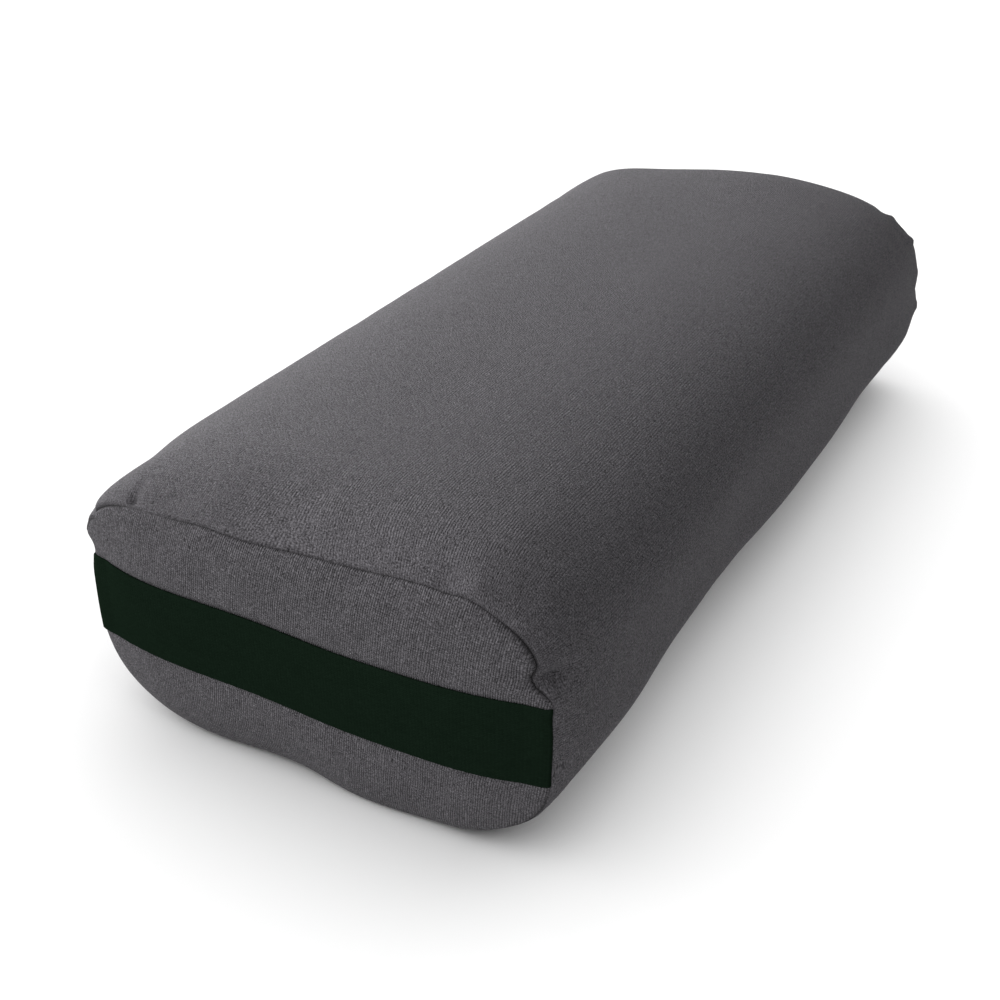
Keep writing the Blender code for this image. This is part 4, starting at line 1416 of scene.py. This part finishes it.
def zip_pieces(tape, coil, metal, thread):
    """The tapes, coils, stops and topstitching along the cover's slit. Past the stops the tapes meet."""
    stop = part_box("zip_top_stop_upper")[1]
    for name, side in (("upper", 1), ("lower", -1)):
        low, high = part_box("zip_tape_" + name)
        along = np.linspace(low.y, high.y, TAPE_GRID[0])[:, None]
        across = np.linspace(0, 1, TAPE_GRID[1])[None, :]
        past = ((abs(along) - stop.y) / TAPE_CLOSING).clip(0, 1)
        inner = SIDE_HEIGHT + side * mix(TAPE_PARTING, TAPE_PARTING_PAST_STOPS, past)
        z = mix(inner, high.z, across) if side > 0 else mix(low.z, inner, across)
        points, uv = joined_columns(low.x, along, z), joined_columns(z, along)
        item = thicken(surface("zip_tape_" + name + "_woven", points, uv), high.x - low.x)
        dressed(item, tape, "zip_tape_" + name)
        centre, outwards = coil_path(*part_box("zip_coil_" + name), side)
        item = tubes("zip_coil_" + name + "_spiral", centre[None], outwards[None] + 1e-4, COIL_WIRE, 4)
        dressed(item, coil, "zip_coil_" + name)
        item = rounded_box("zip_stop_" + name, *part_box("zip_top_stop_" + name), STOP_ROUND)
        dressed(item, metal, "zip_top_stop_" + name)
        low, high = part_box("zip_stitch_" + name)
        along = np.linspace(low.y, high.y, TOPSTITCH_POINTS)
        path = joined_columns((low.x + high.x) / 2 - HEM_RISE, along, (low.z + high.z) / 2)
        item = stitches("zip_topstitching_" + name, path, (-1, 0, 0), STITCH_THREAD)
        dressed(item, thread, "zip_stitch_" + name)
    item = rounded_box("zip_stop_bottom", *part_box("zip_bottom_stop"), STOP_ROUND)
    dressed(item, metal, "zip_bottom_stop")


def plate(name, outline_yz, faces, edge):
    """A flat plate from its outline as (y, z) points, between two x faces, with its edges rounded by edge.

    Rings of the outline are drawn in by edge (1 - sin t) and moved out by edge cos t round both rims.
    """
    middle = (outline_yz.max(axis=0) + outline_yz.min(axis=0)) / 2
    reach = (outline_yz.max(axis=0) - outline_yz.min(axis=0)) / 2
    turn = np.linspace(0, np.pi, EDGE_POINTS)
    low, high = faces
    x = np.where(turn < np.pi / 2, low + edge * (1 - np.cos(turn)), high - edge * (1 + np.cos(turn)))
    x = np.concatenate([[low, low], x[1:-1], [high, high]])
    drawn = np.pad(edge * (1 - np.sin(turn)), 1, constant_values=reach.min() * FACE_SHARE)
    points = middle + (outline_yz - middle) * (1 - drawn[:, None, None] / reach)
    return block(name, joined_columns(x[:, None], points[..., 0], points[..., 1]), sharp=50)


def slot_outline(length, width, middle, squareness, taper=0.0, count=40):
    """A superellipse (y, z) outline of the length and width, narrowing by the share taper towards -Y."""
    turn = np.linspace(0, 2 * np.pi, count, endpoint=False)
    y, z = rounded_square(turn, 2 / squareness)
    z = z * (1 - taper * (1 - y) / 2)
    return np.stack([middle[0] + y * length / 2, middle[1] + z * width / 2], axis=-1)


def joined(name, items):
    """One mesh of several pieces."""
    work = bmesh.new()
    for item in items:
        work.from_mesh(item.data)
        bpy.data.objects.remove(item)
    mesh = bpy.data.meshes.new(name)
    work.to_mesh(mesh)
    work.free()
    return placed(name, mesh)


def bail(front, reach_out, y):
    """The arched bail over the pull: x = front - height sin^BAIL_ARCH(t), y = middle + reach cos t."""
    turn = np.linspace(0, np.pi, BAIL_POINTS)
    x = front - reach_out * np.sin(turn) ** BAIL_ARCH
    path = joined_columns(x, y + (BAIL_OPENING + BAIL_BAR) / 2 * np.cos(turn), SIDE_HEIGHT)
    path[[0, -1], 0] += BAIL_ROOT
    ring = np.linspace(0, 2 * np.pi, BAIL_SIDES, endpoint=False)
    out, up = rounded_square(ring, ROUND_SQUARING)
    points = swept(path, sideways_of(path), out * BAIL_BAR / 2, up * BAIL_WIDTH / 2)
    return block("bail", points, sharp=50)


def slider_pieces(metal):
    """The slider: two plates on a bridge, side walls, and an arched bail, with the pull hung under it."""
    low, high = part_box("zip_slider_body")
    y = (low.y + high.y) / 2
    length, width = high.y - low.y, high.z - low.z
    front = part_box("zip_coil_upper")[0].x - GAP
    tape_front, tape_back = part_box("zip_tape_upper")
    back = tape_back.x + GAP
    middle = (y, SIDE_HEIGHT)
    shape = slot_outline(length, width, middle, SLIDER_SQUARENESS, SLIDER_TAPER)
    bridge = slot_outline(BRIDGE_LENGTH, BRIDGE_WIDTH, middle, squareness=2.0)
    parts = [
        plate("outer", shape, (front - SLIDER_PLATE, front), OUTER_EDGE),
        plate("inner", shape, (back, high.x), INNER_EDGE),
        plate("bridge", bridge, (front - SLIDER_PLATE / 2, high.x - SLIDER_INSET), BRIDGE_EDGE),
    ]
    for side in (1, -1):
        place = (y, SIDE_HEIGHT + side * (width / 2 - SLIDER_INSET))
        wall = slot_outline(length * WALL_SHARE, SLIDER_WALL, place, WALL_SQUARENESS)
        parts.append(plate("wall", wall, (front - WALL_LAP, tape_front.x - GAP), WALL_EDGE))
    face = front - SLIDER_PLATE
    parts.append(bail(face, abs(low.x) - BAIL_BAR / 2 - abs(face), y))
    item = joined("zip_slider_cast", parts)
    dressed(item, metal, "zip_slider_body", "zip_slider")
    pull_piece(metal, y)


def pull_piece(metal, y):
    """The pull tab: a plate with round edges and an eye at its end that the bail passes through."""
    low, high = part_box("zip_pull_tab")
    middle = ((low.y + high.y) / 2, SIDE_HEIGHT)
    rim = slot_outline(high.y - low.y, high.z - low.z, middle, PULL_SQUARENESS, 0.0, PULL_POINTS)
    eye_y = y - (high.x - low.x) / 2 - PULL_EYE[0] / 2
    eye = slot_outline(*PULL_EYE, (eye_y, SIDE_HEIGHT), PULL_SQUARENESS, 0.0, PULL_POINTS)
    turn = np.linspace(0, np.pi, PULL_EDGE_POINTS)
    edge = (high.x - low.x) / 2
    x = (low.x + high.x) / 2 + edge * np.cos(turn)
    inward = PULL_ROUND * edge * (1 - np.sin(turn))[:, None, None]
    outer = rim - unit(rim - rim.mean(axis=0)) * inward
    inner = (eye + unit(eye - eye.mean(axis=0)) * inward)[::-1]
    flat = np.concatenate([outer, inner, outer[:1]])
    x = np.concatenate([x, x[::-1], x[:1]])[:, None]
    points = joined_columns(x, flat[..., 0], flat[..., 1])
    item = closed_up(surface("zip_pull_plate", points, closed=True), sharp=40)
    dressed(item, metal, "zip_pull_tab", "zip_pull")


# Floor, light and world


def seen_wire(tree):
    """1 for the rays that show a thing to the camera, straight, mirrored or through glass, else 0."""
    rays = tree.nodes.new("ShaderNodeLightPath").outputs
    seen = Wire(rays["Is Camera Ray"]).math("MAXIMUM", Wire(rays["Is Glossy Ray"]))
    return seen.math("MAXIMUM", Wire(rays["Is Transmission Ray"]))


def soft_sun(name, azimuth, height, softness, level):
    """A wide lamp far away, from an azimuth measured from +X towards +Y and a height above the floor."""
    lamp = bpy.data.lights.new(name, "SUN")
    lamp.angle = math.radians(softness)
    lamp.energy = level
    item = placed(name, lamp)
    azimuth, height = math.radians(azimuth), math.radians(height)
    flat = math.cos(height)
    way = Vector((math.cos(azimuth) * flat, math.sin(azimuth) * flat, math.sin(height)))
    item.rotation_euler = (-way).to_track_quat("-Z", "Y").to_euler()
    return item


def studio():
    """A wide white floor that keeps the cushion's shadow, three soft lamps, and a pale sky.

    The key and the fill light everything but the floor, and the overhead lights the floor alone.
    """
    bpy.ops.mesh.primitive_plane_add(size=FLOOR_SIZE)
    floor = bpy.context.object
    floor.name = "floor"
    material, shader = finish("studio_floor", roughness=0.9, specular=0.0)
    seen = seen_wire(material.node_tree)
    feed(shader.inputs["Base Color"], colour_blend(seen, (FLOOR_GREY,) * 3, WHITE))
    floor.data.materials.append(material)
    world = bpy.data.worlds.new("sky")
    bpy.context.scene.world = world
    world.use_nodes = True
    sky = world.node_tree.nodes["Background"]
    feed(sky.inputs["Strength"], seen_wire(world.node_tree) * (1 - SKY_FILL) + SKY_FILL)
    sky.inputs["Color"].default_value = (*WHITE, 1.0)
    lamps = (("key", KEY, "EXCLUDE"), ("fill", FILL, "EXCLUDE"), ("overhead", OVERHEAD, "INCLUDE"))
    for name, values, state in lamps:
        lamp = soft_sun(name, *values)
        lit = bpy.data.collections.new(lamp.name + "_floor")
        lit.objects.link(floor)
        lamp.light_linking.receiver_collection = lit
        lit.collection_objects[0].light_linking.link_state = state


def build():
    """Every piece of the bolster, dressed and fixed to its body."""
    skin = cover_skin(ripples())
    camera()
    studio()
    thread = sewing_thread()
    metal = zip_metal()
    cloth = canvas("charcoal_canvas", (0.35, 0.72), uneven=0.45, gap_shade_depth=0.64, relief=0.00080)
    end_cloth = canvas("charcoal_canvas_ends", (0.65, 0.95), uneven=0.6, gap_shade_depth=0.80, relief=0.00130)
    cover_pieces(skin, cloth, end_cloth)
    cover_stitches(skin, thread)
    handle_pieces(webbing())
    zip_pieces(zip_tape(), zip_coil(), metal, thread)
    slider_pieces(metal)
    lining_pieces(liner_cotton(), thread)
    filling_pieces(batting(), foam())


build()
bpy.context.scene.view_settings.view_transform = "Standard"
